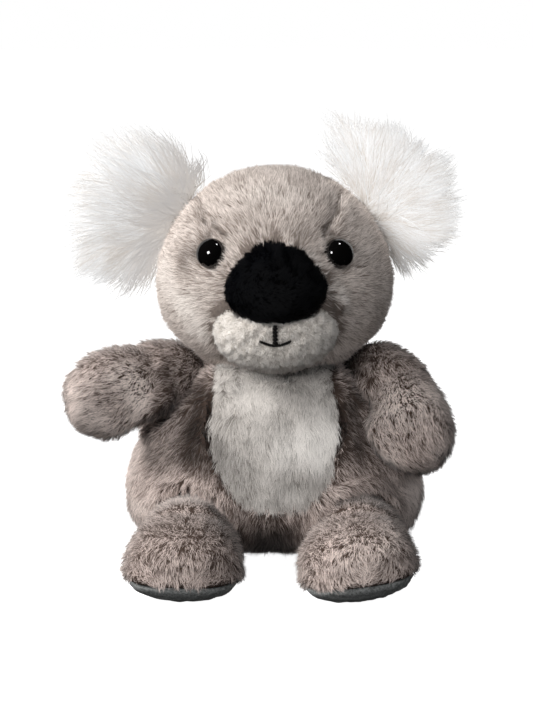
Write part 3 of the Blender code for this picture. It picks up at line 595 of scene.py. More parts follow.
def two_tone(name, dark, light, pattern, skin, flecks=None, relief=None):
    """A material in two shades that a fine pattern mixes, given by its texture, settings and output.

    Flecks are the range of the pattern that goes from dark to light, and the relief is
    how strongly and how deep the pattern also raises the surface."""
    made, tree = blank_material(name)
    kind, settings, output = pattern
    place = add(tree, "ShaderNodeTexCoord")
    grain = add(tree, "ShaderNodeTex" + kind, settings, {"Vector": place.outputs["Object"]}).outputs[output]
    share = grain
    if flecks:
        share = add(tree, "ShaderNodeMapRange", {"From Min": flecks[0], "From Max": flecks[1]},
                    {"Value": grain}).outputs["Result"]
    dyed = add(tree, "ShaderNodeMix", {"data_type": "RGBA", 6: colour4(dark), 7: colour4(light)}, {0: share})
    feeds = {"Base Color": dyed.outputs[2]}
    if relief:
        lift = add(tree, "ShaderNodeBump", {"Strength": relief[0], "Distance": relief[1]}, {"Height": grain})
        feeds["Normal"] = lift.outputs["Normal"]
    surface = add(tree, "ShaderNodeBsdfPrincipled", skin, feeds)
    add(tree, "ShaderNodeOutputMaterial", {}, {"Surface": surface.outputs[0]})
    return made


def noise(size, **settings):
    """The pattern of a noise of about a size."""
    return "Noise", {"Scale": 1 / size, **settings}, "Fac"


def dimmed(colour, share):
    return [share * part for part in colour]


def backing_material(name, colour):
    """Knitted backing under a pile: dull, with the knit's rows just showing, 0.9 mm apart."""
    return two_tone(name, dimmed(colour, 0.7), colour, ("Voronoi", {"Scale": 1 / (0.9 * MM)}, "Distance"),
                    {"Roughness": 0.95, "IOR": 1.5, "Specular IOR Level": 0.1}, relief=(0.6, 0.2 * MM))


def felt_material(colour):
    """Pressed wool felt: fine tangled fibres, flecked lighter and darker, without any shine."""
    return two_tone("felt_pressed_slate", dimmed(colour, 0.5), dimmed(colour, 1.6),
                    noise(0.7 * MM, Detail=4.0, Roughness=0.7),
                    {"Roughness": 0.95, "IOR": 1.5, "Specular IOR Level": 0.15, "Sheen Weight": 0.1},
                    flecks=(0.35, 0.65), relief=(0.8, 0.25 * MM))


def eye_material():
    """Acrylic, moulded and polished: deep black under a clear wet-looking face."""
    made, tree = blank_material("acrylic_polished_black")
    place = add(tree, "ShaderNodeTexCoord")
    haze = add(tree, "ShaderNodeTexNoise", {"Scale": 1 / (1.5 * MM), "Detail": 3.0},
               {"Vector": place.outputs["Object"]})
    rub = add(tree, "ShaderNodeMapRange", {"To Min": 0.03, "To Max": 0.09}, {"Value": haze.outputs["Fac"]})
    skin = add(tree, "ShaderNodeBsdfPrincipled",
               {"Base Color": colour4(linear("0c0b0b")), "IOR": 1.49, "Coat Weight": 0.6,
                "Coat Roughness": 0.03},
               {"Roughness": rub.outputs["Result"]})
    add(tree, "ShaderNodeOutputMaterial", {}, {"Surface": skin.outputs[0]})
    return made


def thread_material():
    """Mercerised cotton, twisted from two plies: black with a faint silky line along each ply."""
    return two_tone("cotton_twisted_black", linear("040404"), linear("141210"), noise(0.3 * MM, Detail=2.0),
                    {"Roughness": 0.6, "IOR": 1.5, "Specular IOR Level": 0.3, "Sheen Weight": 0.05})


def inside_material(name, colour, rough, grain):
    """What lies inside: plain calico or moulded nylon, by colour, roughness and grain."""
    return two_tone(name, dimmed(colour, 0.8), colour, noise(grain, Detail=3.0),
                    {"Roughness": rough, "IOR": 1.5})


# Each pile's name and colours (deep, at the ends, and for its painted light), its roughness and sheen, and how
# uneven it is by hair, by lock and by patch.
PILES = {
    # Acrylic pile, knitted, cut and brushed: soft sheen, and painted shade where it parts, darker towards the
    # roots.
    "taupe": ("acrylic_pile_taupe", "taupe_root", "taupe_tip", "taupe_pale", 0.8, 0.1, 0.55, 0.12, 0.12),
    # The same pile on the head, paler and brushed flatter.
    "beige": ("acrylic_pile_beige", "beige_root", "beige_tip", "beige_pale", 0.8, 0.1, 0.5, 0.1, 0.14),
    # Polyester long pile, brushed: silky and nearly white, with painted grey-brown shade only at its roots.
    "white": ("polyester_pile_white", "white_root", "white_tip", "white_shade", 0.65, 0.05, 0.25, 0.4, 0.2),
    # The same long pile on the belly, a little greyer as painted shade.
    "belly": ("polyester_pile_belly", "belly_root", "belly_tip", "belly_pale", 0.65, 0.05, 0.4, 0.1, 0.12),
    # Polyester fleece, sheared and tumbled: dull nubs, creamy.
    "cream": ("polyester_fleece_cream", "cream_root", "cream_tip", "white_shade", 0.9, 0.1, 0.2, 0.25, 0.15),
    # Acrylic pile, dyed black and sheared: hairs show only as faint grey ends.
    "black": ("acrylic_pile_black", "black_root", "black_tip", "white_shade", 0.75, 0.0, 0.3, 0.2, 0.2),
}
# Polyester knit under each pile, dyed with it: dull, and a shade darker than the hairs' roots by this share.
BACKINGS = {"taupe": 0.8, "beige": 0.9, "white": 0.9, "cream": 0.9, "black": 1.0}
# The materials made so far.
LOOKS = {}


def look(name):
    """A material by the name of its finish, made the first time it is asked for."""
    if name in LOOKS:
        return LOOKS[name]
    dye = bpy.context.scene.koala_colours
    cloth = name.removesuffix("_backing")
    if name in PILES:
        own, root, tip, pale, *amounts = PILES[name]
        made = pile_material(own, getattr(dye, root), getattr(dye, tip), getattr(dye, pale), *amounts)
    elif cloth in BACKINGS:
        root = getattr(dye, cloth + "_root")
        made = backing_material("polyester_knit_" + cloth, dimmed(root, BACKINGS[cloth]))
    elif name == "felt":
        made = felt_material(dye.felt)
    elif name == "eye":
        made = eye_material()
    else:
        made = thread_material()
    LOOKS[name] = made
    return made


# Settings that a user would change

def length_property(label, words, value):
    return FloatProperty(name=label, description=words, default=value, min=0.0, unit="LENGTH")


def colour_property(label, words, code):
    return FloatVectorProperty(name=label, description=words, default=linear(code), subtype="COLOR", size=3,
                               min=0.0, max=1.0)


def light_property(label, words, value):
    return FloatProperty(name=label, description=words, default=value, min=0.0, subtype="POWER", unit="POWER")


class KoalaPile(bpy.types.PropertyGroup):
    head: length_property("Head pile", "Length of the head's hairs", 3.4 * MM)
    body: length_property("Body pile", "Length of the body's hairs", 4.0 * MM)
    limbs: length_property("Limb pile", "Length of the arms' and legs' hairs", 3.8 * MM)
    belly: length_property("Belly pile", "Length of the belly panel's hairs", 6.0 * MM)
    ears: length_property("Ear hair", "Length of the longest hair on the ears", 24.0 * MM)
    ear_backs: length_property("Ear back pile", "Length of the hairs behind the ears", 4.0 * MM)
    nose: length_property("Nose pile", "Length of the nose's hairs", 2.0 * MM)
    muzzle: length_property("Muzzle fleece", "Depth of the muzzle's fleece", 1.2 * MM)


class KoalaColours(bpy.types.PropertyGroup):
    # The deep colours are painted shade between the hairs, and the pale ones the colours of painted highlights;
    # the belly's are a greyer, shaded copy of the white, and the white's shaded brown-grey is painted shade at
    # the ears' roots.
    taupe_root: colour_property("Taupe, deep", "Grey-brown plush between its hairs", "5c4e47")
    taupe_tip: colour_property("Taupe, ends", "Grey-brown plush at its hairs' ends", "e2d3cc")
    taupe_pale: colour_property("Taupe, brushed", "Grey-brown plush where its nap catches the light", "f2e6df")
    beige_root: colour_property("Beige, deep", "The head's plush between its hairs", "93877f")
    beige_tip: colour_property("Beige, ends", "The head's plush at its hairs' ends", "efe5de")
    beige_pale: colour_property("Beige, brushed", "The head's plush where its nap catches the light", "fffaf4")
    belly_root: colour_property("Belly, deep", "The belly's plush between its hairs", "7d7873")
    belly_tip: colour_property("Belly, ends", "The belly's plush at its hairs' ends", "d6d1cc")
    belly_pale: colour_property("Belly, brushed", "The belly's plush where its nap catches the light", "faf6f1")
    white_root: colour_property("White, deep", "White plush between its hairs", "cfc8c1")
    white_tip: colour_property("White, ends", "White plush at its hairs' ends", "f3f4f5")
    white_shade: colour_property("White, shaded", "The brown-grey at the root of the ears", "8b7a6e")
    cream_root: colour_property("Cream, deep", "Muzzle fleece between its nubs", "cfc8c0")
    cream_tip: colour_property("Cream, ends", "Muzzle fleece on its nubs", "fbf7f2")
    black_root: colour_property("Black, deep", "Nose plush between its hairs", "010102")
    black_tip: colour_property("Black, ends", "Nose plush at its hairs' ends", "07080c")
    felt: colour_property("Felt", "The soles", "7b7d7c")


class KoalaStage(bpy.types.PropertyGroup):
    key: light_property("Side light", "Power of the main light, on the left", 9.3)
    front: light_property("Front light", "Power of the light in front and to the left", 3.2)
    top: light_property("Top light", "Power of the small light above", 1.2)
    fill: light_property("Fill light", "Power of the light in front and to the right", 1.8)
    room: FloatProperty(name="Room light", description="Strength of the light from all around", default=0.05,
                        min=0.0)


# Painted light on each part: painted highlights (above 0) and painted shade and shadows (below 0), such as the
# arms' shadows on the body and the shade between parts and round the eyes: a place, how wide, and how much.
PAINTED_LIGHT_STROKES = {
    "body": (
        ((-23, -26, 59), (5, 9, 7), -2.4), ((-24, -30, 49), (6, 9, 8), -2.6), ((-26, -33, 40), (7, 8, 6), -1.7),
        ((-20, -37, 40), (4, 6, 7), -1.4), ((-12, -42, 24), (9, 8, 5), -0.8), ((-1, -40, 17), (13, 9, 6), -2.2),
        ((-2, -36, 8), (14, 14, 8), -2.6), ((-42, -12, 38), (8, 14, 9), 0.4), ((-47, -8, 28), (7, 14, 12), 0.3),
        ((-43, -18, 20), (8, 10, 3), 0.8), ((-33, -28, 24.5), (8, 8, 3), 0.9), ((24, -25, 55), (5, 9, 8), -2.2),
        ((25, -31, 44), (5, 8, 9), -2.0), ((32, -32, 34), (8, 8, 6), -0.8), ((11, -42, 25), (6, 6, 4), 0.3),
        ((21, -40, 29), (8, 6, 3.5), 0.4), ((44, -16, 24), (7, 12, 9), 1.2),
    ),
    "right_arm": (
        ((-46, -30, 65), (6, 8, 5), 2.2), ((-43, -30, 58), (5, 8, 6), 2.2), ((-60, -33, 60), (9, 10, 10), 0.6),
        ((-55, -34, 51), (8, 9, 6), 1.1), ((-50, -31, 47), (8, 8, 5), 0.6), ((-35, -23, 64), (4, 7, 5), -1.3),
        ((-35, -28, 53), (4, 7, 6), -1.3), ((-41, -18, 70), (8, 8, 4), -0.3), ((-31, -25, 57), (4, 5, 5), -0.6),
    ),
    "left_arm": (
        ((27, -11, 69), (5, 8, 5), -1.5), ((25, -14, 61), (4, 8, 6), -2.2), ((39, -31, 57), (7, 9, 8), 1.7),
        ((31, -28, 50), (4, 8, 6), 0.9), ((36, -33, 41), (5, 8, 7), 0.9), ((50, -31, 58), (8, 10, 9), 0.9),
        ((53, -37, 42), (7, 8, 7), 0.5), ((43, -40, 47), (5, 7, 6), -0.3), ((41, -18, 67), (7, 8, 4), -0.2),
    ),
    "right_leg": (
        ((-19, -58, 22), (6, 8, 6), -0.5), ((-15, -64, 14), (4, 8, 6), -0.6), ((-32, -69, 12), (10, 6, 7), 0.1),
        ((-30, -35, 25), (13, 7, 4), 1.1), ((-30, -62, 24), (12, 8, 5), -0.4),
    ),
    "left_leg": (
        ((28, -66, 17), (11, 9, 9), 0.5), ((36, -60, 21), (8, 8, 6), 0.4), ((13, -60, 16), (4, 8, 7), -0.2),
        ((28, -38, 26), (13, 4, 3), -0.5),
    ),
    "belly": (
        ((-18, -35, 46), (5, 7, 9), -0.9), ((-14, -39, 40), (7, 8, 9), -1.0), ((-4, -42, 30), (10, 6, 6), -0.3),
        ((12, -42, 37), (8, 5, 2.6), -0.8), ((-8, -28, 57), (8, 8, 6), 0.4), ((15, -35, 47), (10, 10, 13), 1.2),
        ((4, -40, 47), (9, 8, 7), 0.5), ((4, -42, 33), (7, 5, 3), 0.4),
    ),
    "head": (
        ((-27, -24, 101), (5, 6, 8), -1.2), ((-19, -24, 72), (9, 6, 4), -0.9),
        ((7, -34, 111), (9, 8, 4.5), -0.7), ((-2, -22, 119), (11, 9, 6), 0.4), ((15, -4, 125), (6, 6, 4), -0.8),
        ((-27, -26, 88), (9, 9, 9), 0.7), ((-22, -28, 79), (8, 8, 7), 0.6), ((-33, -16, 94), (8, 9, 9), 0.5),
        ((32, -19, 88), (8, 12, 10), -0.6), ((21, -25, 74), (8, 8, 5), 0.3),
    ),
}


# Body and belly

# The crease in front of each thigh: its path, depth and width.
THIGH_FOLDS = (
    (np.array([(-46, -20, 27), (-40, -35, 27.5), (-24, -42, 31), (-12, -45, 29)]) * MM, 2.2 * MM, 3.0 * MM),
    (np.array([(6, -46, 18), (17, -44, 26), (30, -40, 29), (46, -20, 27)]) * MM, 2.4 * MM, 3.0 * MM),
)
BELLY_FOLD = np.array([(24, -42, 45), (12, -46, 38), (3, -46, 31)]) * MM
BELLY_FOLD_DEPTH = 1.2 * MM
BELLY_FOLD_WIDTH = 3 * MM


def near_joints(places, joints, radius):
    """1 within the radius of a joint's centre, falling to 0 over 2 mm."""
    near = np.zeros(len(places))
    for joint in joints:
        near = np.maximum(near, np.clip((radius + 2 * MM - apart(places, joint)) / (2 * MM), 0, 1))
    return near


def body_sculpt(places):
    """Full thighs with a crease below each, the fold across the belly and a full collar under the head."""
    push = np.zeros(len(places))
    for path, depth, width in THIGH_FOLDS:
        push -= depth * along_path(places, path, width)
        push += 1.3 * depth * along_path(places, path + 6 * MM * UP, width * 1.4)
    push -= BELLY_FOLD_DEPTH * along_path(places, BELLY_FOLD, BELLY_FOLD_WIDTH)
    collar = np.exp(-((from_neck(places) - 22 * MM) / (6 * MM)) ** 2) * (places[:, 2] > 45 * MM)
    for sign in (LEFT, RIGHT):
        collar *= ramp(apart(places, on_side(SHOULDER, sign)), 15.5 * MM, 4 * MM)
    joints = [on_side(joint, sign) for sign in (LEFT, RIGHT) for joint in (SHOULDER, HIP)]
    front = ramp(-places[:, 1], 12 * MM, 8 * MM)
    return push + (3.6 + 3.5 * front) * MM * collar + BODY_INSET * near_joints(places, joints, 18 * MM)


def belly_sculpt(places):
    """The same fold, a little shallower in the panel."""
    return -0.75 * BELLY_FOLD_DEPTH * along_path(places, BELLY_FOLD, BELLY_FOLD_WIDTH)


class KOALA_OT_body(bpy.types.Operator):
    """Builds the stuffed body"""
    bl_idname = "koala.body"
    bl_label = "Body"

    def execute(self, context):
        form = stuffed_form("body_plush", ("body_skin", "body_stuffing"), look("taupe_backing"),
                            voxel=1.4 * MM, inset=BODY_INSET, passes=8, sculpt=body_sculpt)
        keep_form("body", form, "body", "grey_plush", 0.8, "body_skin", "body_stuffing")
        return {"FINISHED"}


class KOALA_OT_belly(bpy.types.Operator):
    """Builds the belly panel, a sewn-in patch"""
    bl_idname = "koala.belly"
    bl_label = "Belly panel"

    def execute(self, context):
        form = stuffed_form("belly_patch", ("belly_panel",), look("white_backing"),
                            voxel=0.8 * MM, inset=0.7 * MM, passes=3, sculpt=belly_sculpt)
        keep_form("belly", form, "body", "white_plush", 0.5, "belly_panel")
        return {"FINISHED"}


def grow_body(size):
    """Ruffled taupe pile, combed down and outward, which stands up higher under the head."""
    points, normals = scattered(FORMS["body"], spacing=1.3 * MM, seed=11)
    white = inside_outline(points, BELLY_OUTLINE, 0.5 * MM)
    white |= (np.abs(points[:, 0]) < 19 * MM) & (points[:, 1] < -10 * MM) & (points[:, 2] > 50 * MM)
    covered = (points[:, 2] > 59.5 * MM) & (from_neck(points) < 15 * MM)
    shown = ~white & ~covered & (points[:, 2] > 0.8 * MM)
    for sign in (LEFT, RIGHT):
        for joint, radius in ((SHOULDER, SHOULDER_SOCKET), (HIP, HIP_SOCKET)):
            shown &= apart(points, on_side(joint, sign)) > radius
    points, normals, room = with_room(points[shown], normals[shown],
                                      ("head", "left_arm", "right_arm", "left_leg", "right_leg"),
                                      reach=5 * MM, least=0.01)
    outward = np.stack([np.sign(points[:, 0]), 0 * room, 0 * room], axis=1)
    ways = ruffled(np.array([0, -0.15, -1.0]) + 0.25 * outward, points, (0.30, 16 * MM, 3), (0.12, 6 * MM, 4))
    length = size.body * (0.6 + 0.4 * room) * varied(points, 0.07, 9 * MM, 5)
    lean = swaying(radians(60), points, 0.12, 7 * MM, 6) - radians(30) * ramp(points[:, 2], 52 * MM, 8 * MM)
    # Painted shade, such as the arms' shadows on the body, and painted highlights go into the pile's colour.
    grow("body_pile", "body", "taupe", 12, points, normals, along_surface(ways, normals), length, lean,
         painted_light(points, PAINTED_LIGHT_STROKES["body"]))


def grow_belly(size):
    """Long silky hair on the panel and on the chest above it, swept down and drawn into tufts."""
    points, normals = scattered(FORMS["belly"], spacing=0.95 * MM, seed=21)
    panel = (normals[:, 1] < -0.1) & inside_outline(points, BELLY_OUTLINE, -1.5 * MM)
    panel &= points[:, 2] > BELLY_OUTLINE[0, 1] + 3.0 * MM
    upper, facing = scattered(FORMS["body"], spacing=0.7 * MM, seed=26)
    chest = (np.abs(upper[:, 0]) < 18.5 * MM) & (upper[:, 1] < -12 * MM) & (upper[:, 2] > 56 * MM)
    points = np.concatenate([points[panel], upper[chest]])
    normals = np.concatenate([normals[panel], facing[chest]])
    room = room_to(points + normals * MM, ("head", "left_arm", "right_arm"), reach=5 * MM)
    high = ramp(points[:, 2], 52 * MM, 8 * MM)[:, None]
    ways = np.array([0, -0.55, -1.0]) * (1 - high) + np.array([0, -1.0, -0.1]) * high
    ways = ruffled(ways, points, (0.22, 12 * MM, 23), (0.12, 5 * MM, 24))
    edge = np.interp(points[:, 2], BELLY_OUTLINE[:, 1], BELLY_OUTLINE[:, 0]) - np.abs(points[:, 0])
    length = size.belly * (0.6 + 0.4 * room) * (0.7 + 0.3 * ramp(edge, 0, 6 * MM))
    length = length * varied(points, 0.08, 8 * MM, 25)
    ways, length = drawn_together(points, ways, length, size=4.5 * MM, pull=0.35, seed=27)
    comb, lean = laid(ways, normals, flattest=radians(68))
    # Painted shade on the belly's left and in its fold, and painted highlights on its right, go into the pile's
    # colour.
    grow("belly_pile", "body", "belly", 22, points, normals, comb, length, lean,
         painted_light(points, PAINTED_LIGHT_STROKES["belly"]))


# Head

FOREHEAD_SEAMS = (
    np.array([(-25.5, -8, 120), (-22.2, -24, 113.8), (-19.5, -31, 109.9)]) * MM,
    np.array([(20.5, -8, 119.6), (16.8, -26, 112.5), (17.0, -31, 109.5)]) * MM,
)
NOSE_RIDGE = np.array([(4.5, -41, 110.0), (11.5, -40.5, 104.6), (18.2, -39, 96.5), (22.5, -36, 88.3)]) * MM
RIDGE_HEIGHT = 2.0 * MM
SEAM_DEPTH = 2.0 * MM
SEAM_WIDTH = 1.5 * MM
EYE_PLACES = [on_side((EYE_ACROSS, -30.0 * MM, 105.0 * MM), sign) for sign in (RIGHT, LEFT)]


def head_sculpt(places):
    """Sewn grooves down the forehead, a dent round each eye and the ridge beside the nose."""
    push = np.zeros(len(places))
    for path in FOREHEAD_SEAMS:
        push -= SEAM_DEPTH * along_path(places, on_surface(path, places), SEAM_WIDTH)
    for place in EYE_PLACES:
        push -= 0.9 * MM * bump(places, place, 8 * MM)
    return push + RIDGE_HEIGHT * along_path(places, on_surface(NOSE_RIDGE, places), 2.4 * MM)


class KOALA_OT_head(bpy.types.Operator):
    """Builds the stuffed head with its forehead seams"""
    bl_idname = "koala.head"
    bl_label = "Head"

    def execute(self, context):
        form = stuffed_form("head_plush", ("head_skin", "head_stuffing"), look("beige_backing"),
                            voxel=1.2 * MM, inset=1.5 * MM, passes=6, sculpt=head_sculpt)
        keep_form("head", form, "head", "grey_plush", 0.9, "head_skin", "head_stuffing")
        return {"FINISHED"}


def grow_head(size):
    """Short smooth pile, combed away from the nose, short at the eyes and parted along the seams, with painted
    shade in the seams, a painted highlight on the ridge beside the nose, and painted shade and highlights in
    patches.
    """
    points, normals = scattered(FORMS["head"], spacing=1.15 * MM, seed=31)
    shown = ~((points[:, 2] < 65 * MM) & (from_neck(points) < 16 * MM))
    for place in EYE_PLACES:
        shown &= apart(points, place) > 4.6 * MM
    points, normals, room = with_room(points[shown], normals[shown],
                                      ("nose", "muzzle", "body", "left_arm", "right_arm"),
                                      reach=4 * MM, least=0.03)
    away = unit(points - np.array([0, -54, 96]) * MM)
    comb = along_surface(ruffled(away, points, (0.18, 18 * MM, 33), (0.12, 6 * MM, 34)), normals)
    length = size.head * (0.5 + 0.5 * room) * varied(points, 0.06, 7 * MM, 35)
    for place in EYE_PLACES:
        length *= 1 - 0.35 * bump(points, place, 7 * MM)
    # Painted shade and highlights on the head, and a painted highlight on the ridge beside the nose.
    painted_light_level = painted_light(points, PAINTED_LIGHT_STROKES["head"]) + 0.6 * along_path(points, on_surface(NOSE_RIDGE, points), 1.9 * MM)
    for path in FOREHEAD_SEAMS:
        seam = on_surface(path, points)
        length *= 1 - 0.55 * along_path(points, seam, SEAM_WIDTH)
        # Painted shade in the seams' grooves.
        painted_light_level -= 1.5 * along_path(points, seam, 1.3 * MM)
    lean = swaying(radians(62), points, 0.10, 6 * MM, 36)
    grow("head_pile", "head", "beige", 32, points, normals, comb, length, lean, painted_light_level)


# Nose, muzzle and mouth

MOUTH_GROOVE = np.array([(0, -50, 87), (0, -50.5, 79)]) * MM
SMILE = np.array([
    (-7.5, -48, 81.5), (-4.5, -49.5, 79.6), (0, -50.5, 78.6), (4.5, -49.5, 79.6), (7.5, -48, 81.5),
]) * MM


class KOALA_OT_nose(bpy.types.Operator):
    """Builds the nose pad, for its short black pile"""
    bl_idname = "koala.nose"
    bl_label = "Nose"

    def execute(self, context):
        form = stuffed_form("nose_pad", ("nose",), look("black_backing"),
                            voxel=0.9 * MM, inset=0.8 * MM, passes=4)
        keep_form("nose", form, "head", "black_plush", 0.9, "nose")
        return {"FINISHED"}


def muzzle_sculpt(places):
    """The pull of the stitches: a groove down the middle, a tuck under the smile and a full chin below."""
    push = -1.5 * MM * along_path(places, MOUTH_GROOVE, 1.6 * MM)
    push -= 1.2 * MM * along_path(places, SMILE, 1.5 * MM)
    for sign in (LEFT, RIGHT):
        push += 0.9 * MM * bump(places, on_side((8.5 * MM, -48 * MM, 83 * MM), sign), 6 * MM)
    push += 0.8 * MM * bump(places, np.array([0, -46, 73.5]) * MM, np.array([9, 6, 4.5]) * MM)
    return push + 0.2 * MM * ripple(places, 3.0 * MM, 41)[:, 0]


class KOALA_OT_muzzle(bpy.types.Operator):
    """Builds the cream fleece muzzle, pulled in along its stitches"""
    bl_idname = "koala.muzzle"
    bl_label = "Muzzle"

    def execute(self, context):
        form = stuffed_form("muzzle_patch", ("muzzle",), look("cream_backing"),
                            voxel=0.9 * MM, inset=1.1 * MM, passes=5, sculpt=muzzle_sculpt)
        keep_form("muzzle", form, "head", "cream_fleece", 0.8, "muzzle")
        return {"FINISHED"}


def grow_nose(size):
    """Short black pile, combed round and down."""
    points, normals = scattered(FORMS["nose"], spacing=0.8 * MM, seed=51)
    points, normals, _ = with_room(points, normals, ("head", "muzzle"), reach=2 * MM, least=0.1, lift=0.5 * MM)
    middle = points - np.array([0, -50, 99]) * MM
    swirl = np.stack([-middle[:, 2], 0 * middle[:, 0], middle[:, 0]], axis=1) + 0.4 * middle
    ways = swirl / (6 * MM + np.linalg.norm(swirl, axis=1, keepdims=True)) + np.array([0.3, -0.45, 0.2])
    comb, lean = laid(ruffled(ways, points, (0.4, 8 * MM, 53)), normals, flattest=radians(62))
    length = size.nose * varied(points, 0.15, 3 * MM, 54)
    grow("nose_pile", "head", "black", 52, points, normals, comb, length, lean)


def grow_muzzle(size):
    """Tumbled fleece, pressed down along the stitches."""
    points, normals = scattered(FORMS["muzzle"], spacing=0.85 * MM, seed=61)
    points, normals, _ = with_room(points, normals, ("head", "nose"), reach=2 * MM, least=0.1, lift=0.5 * MM)
    comb = along_surface(ruffled(-0.7 * UP, points, (0.8, 4 * MM, 63)), normals)
    sewn = np.maximum(along_path(points, on_surface(MOUTH_GROOVE, points), 1.3 * MM),
                      along_path(points, on_surface(SMILE[1:4], points), 1.1 * MM))
    length = size.muzzle * (1 - 0.6 * sewn) * varied(points, 0.2, 2.2 * MM, 65)
    lean = swaying(radians(45), points, 0.25, 3 * MM, 64)
    grow("muzzle_pile", "head", "cream", 62, points, normals, comb, length, lean)


def twisted(name, path, radius, turns):
    """A thread of two plies round each other along a path, as one mesh."""
    path = np.asarray(path, float)
    rings, steps = 6, len(path)
    run = unit(np.gradient(path, axis=0))
    side = unit(np.cross(run, np.array([0, 1, 0])))
    rise = np.cross(side, run)
    verts, faces = [], []
    for ply in (0, pi):
        first = len(verts)
        for step in range(steps):
            turn = ply + turns * 2 * pi * step / (steps - 1)
            thin = radius * (0.45 if step in (0, steps - 1) else 1.0)
            middle = path[step] + (side[step] * cos(turn) + rise[step] * sin(turn)) * thin * 0.5
            for corner in range(rings):
                angle = 2 * pi * corner / rings
                verts.append(middle + (side[step] * cos(angle) + rise[step] * sin(angle)) * thin * 0.62)
        for step in range(steps - 1):
            for corner in range(rings):
                a, b = first + step * rings + corner, first + step * rings + (corner + 1) % rings
                faces.append((a, b, b + rings, a + rings))
        faces.append(tuple(first + corner for corner in range(rings))[::-1])
        faces.append(tuple(first + (steps - 1) * rings + corner for corner in range(rings)))
    mesh = bpy.data.meshes.new(name)
    mesh.from_pydata([tuple(v) for v in verts], [], faces)
    mesh.shade_smooth()
    return show(bpy.data.objects.new(name, mesh), look("thread"))


def sewn_on(path, rise):
    """The path laid over the muzzle's front, so far out that it lies in the pile."""
    tree = TREES["muzzle"]
    heights = []
    for x, _, z in path:
        place = tree.ray_cast(Vector((x, -0.1, z)), Vector((0, 1, 0)))[0]
        if place is not None:
            heights.append(place.y)
        elif heights:
            heights.append(heights[-1])
        else:
            raise RuntimeError("The mouth lies beside the muzzle")
    even = np.convolve(np.pad(heights, 4, mode="edge"), np.ones(9) / 9, mode="valid")
    return np.stack([path[:, 0], even - rise, path[:, 2]], axis=1)


class KOALA_OT_mouth(bpy.types.Operator):
    """Sews the mouth: a short thread down from the nose and a smile"""
    bl_idname = "koala.mouth"
    bl_label = "Mouth stitches"

    def execute(self, context):
        low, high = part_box("mouth_stitch")
        share = np.linspace(-1, 1, 60)
        smile = np.stack([share * 4.9 * MM, 0 * share, low.z + 0.7 * MM + 1.4 * MM * share ** 2], axis=1)
        line = twisted("mouth_smile", sewn_on(smile, rise=0.5 * MM), radius=0.45 * MM, turns=7)
        heights = np.linspace(low.z + 0.4 * MM, high.z + 0.6 * MM, 30)
        drop = np.stack([0 * heights, 0 * heights, heights], axis=1)
        upright = twisted("mouth_drop", sewn_on(drop, rise=0.6 * MM), radius=0.8 * MM, turns=3)
        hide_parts("mouth_stitch")
        for thread in (line, upright):
            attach(thread, "head")
        return {"FINISHED"}


# Eyes

def eye_look(across, up):
    """The way an eye looks: square to the egg of the head at its place."""
    deep = -HEAD_HALF.y * (1 - (across / HEAD_HALF.x) ** 2 - (up / HEAD_HALF.z) ** 2) ** 0.5
    return Vector((across / HEAD_HALF.x ** 2, deep / HEAD_HALF.y ** 2, up / HEAD_HALF.z ** 2)).normalized()


def eye_dome(name, stand, rings=14, around=48):
    """A turned dome with a low rim and a closed back, stood where the eye is."""
    form = bmesh.new()
    steps = [pi / 2 * ring / rings for ring in range(1, rings + 1)]
    profile = [(EYE_RADIUS * sin(step), EYE_DOME * cos(step)) for step in steps]
    profile += [(EYE_RADIUS, -0.5 * MM), (EYE_RADIUS - 0.25 * MM, -0.7 * MM)]
    turns = [2 * pi * k / around for k in range(around)]
    crown = form.verts.new((0, 0, EYE_DOME))
    rows = [[form.verts.new((r * cos(turn), r * sin(turn), height)) for turn in turns]
            for r, height in profile]
    back = form.verts.new((0, 0, -0.7 * MM))
    for k in range(around):
        after = (k + 1) % around
        form.faces.new((crown, rows[0][k], rows[0][after]))
        form.faces.new((back, rows[-1][after], rows[-1][k]))
        for lower, upper in zip(rows, rows[1:]):
            form.faces.new((lower[k], upper[k], upper[after], lower[after]))
    form.transform(stand)
    bmesh.ops.recalc_face_normals(form, faces=form.faces)
    mesh = bpy.data.meshes.new(name)
    form.to_mesh(mesh)
    form.free()
    mesh.shade_smooth()
    return show(bpy.data.objects.new(name, mesh), look("eye"))


class KOALA_OT_eyes(bpy.types.Operator):
    """Turns the domed eyes finely enough to mirror the lights without facets"""
    bl_idname = "koala.eyes"
    bl_label = "Eyes"

    def execute(self, context):
        for sign, side in SIDES:
            places = coords(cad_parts[side + "_eye"].data)
            axis = eye_look(sign * EYE_ACROSS, EYE_UP)
            centre = Vector(places.mean(axis=0))
            top = max((Vector(place) - centre).dot(axis) for place in places)
            seat = centre + axis * (top - EYE_DOME)
            # The dome turns a little to the front in its eyelet.
            turned = (axis + Vector((0, -0.45, -0.05))).normalized()
            stand = Matrix.Translation(seat) @ turned.to_track_quat("Z", "Y").to_matrix().to_4x4()
            eye = eye_dome(side + "_eye_dome", stand)
            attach(eye, "head")
            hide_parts(side + "_eye")
        return {"FINISHED"}


# Ears

def ear_axes(sign):
    """The way an ear points, and the way along the seam that it is sewn on by."""
    out = np.array([sign * cos(EAR_ANGLE), 0, sin(EAR_ANGLE)])
    along = np.array([-sign * sin(EAR_ANGLE), 0, cos(EAR_ANGLE)])
    return out, along


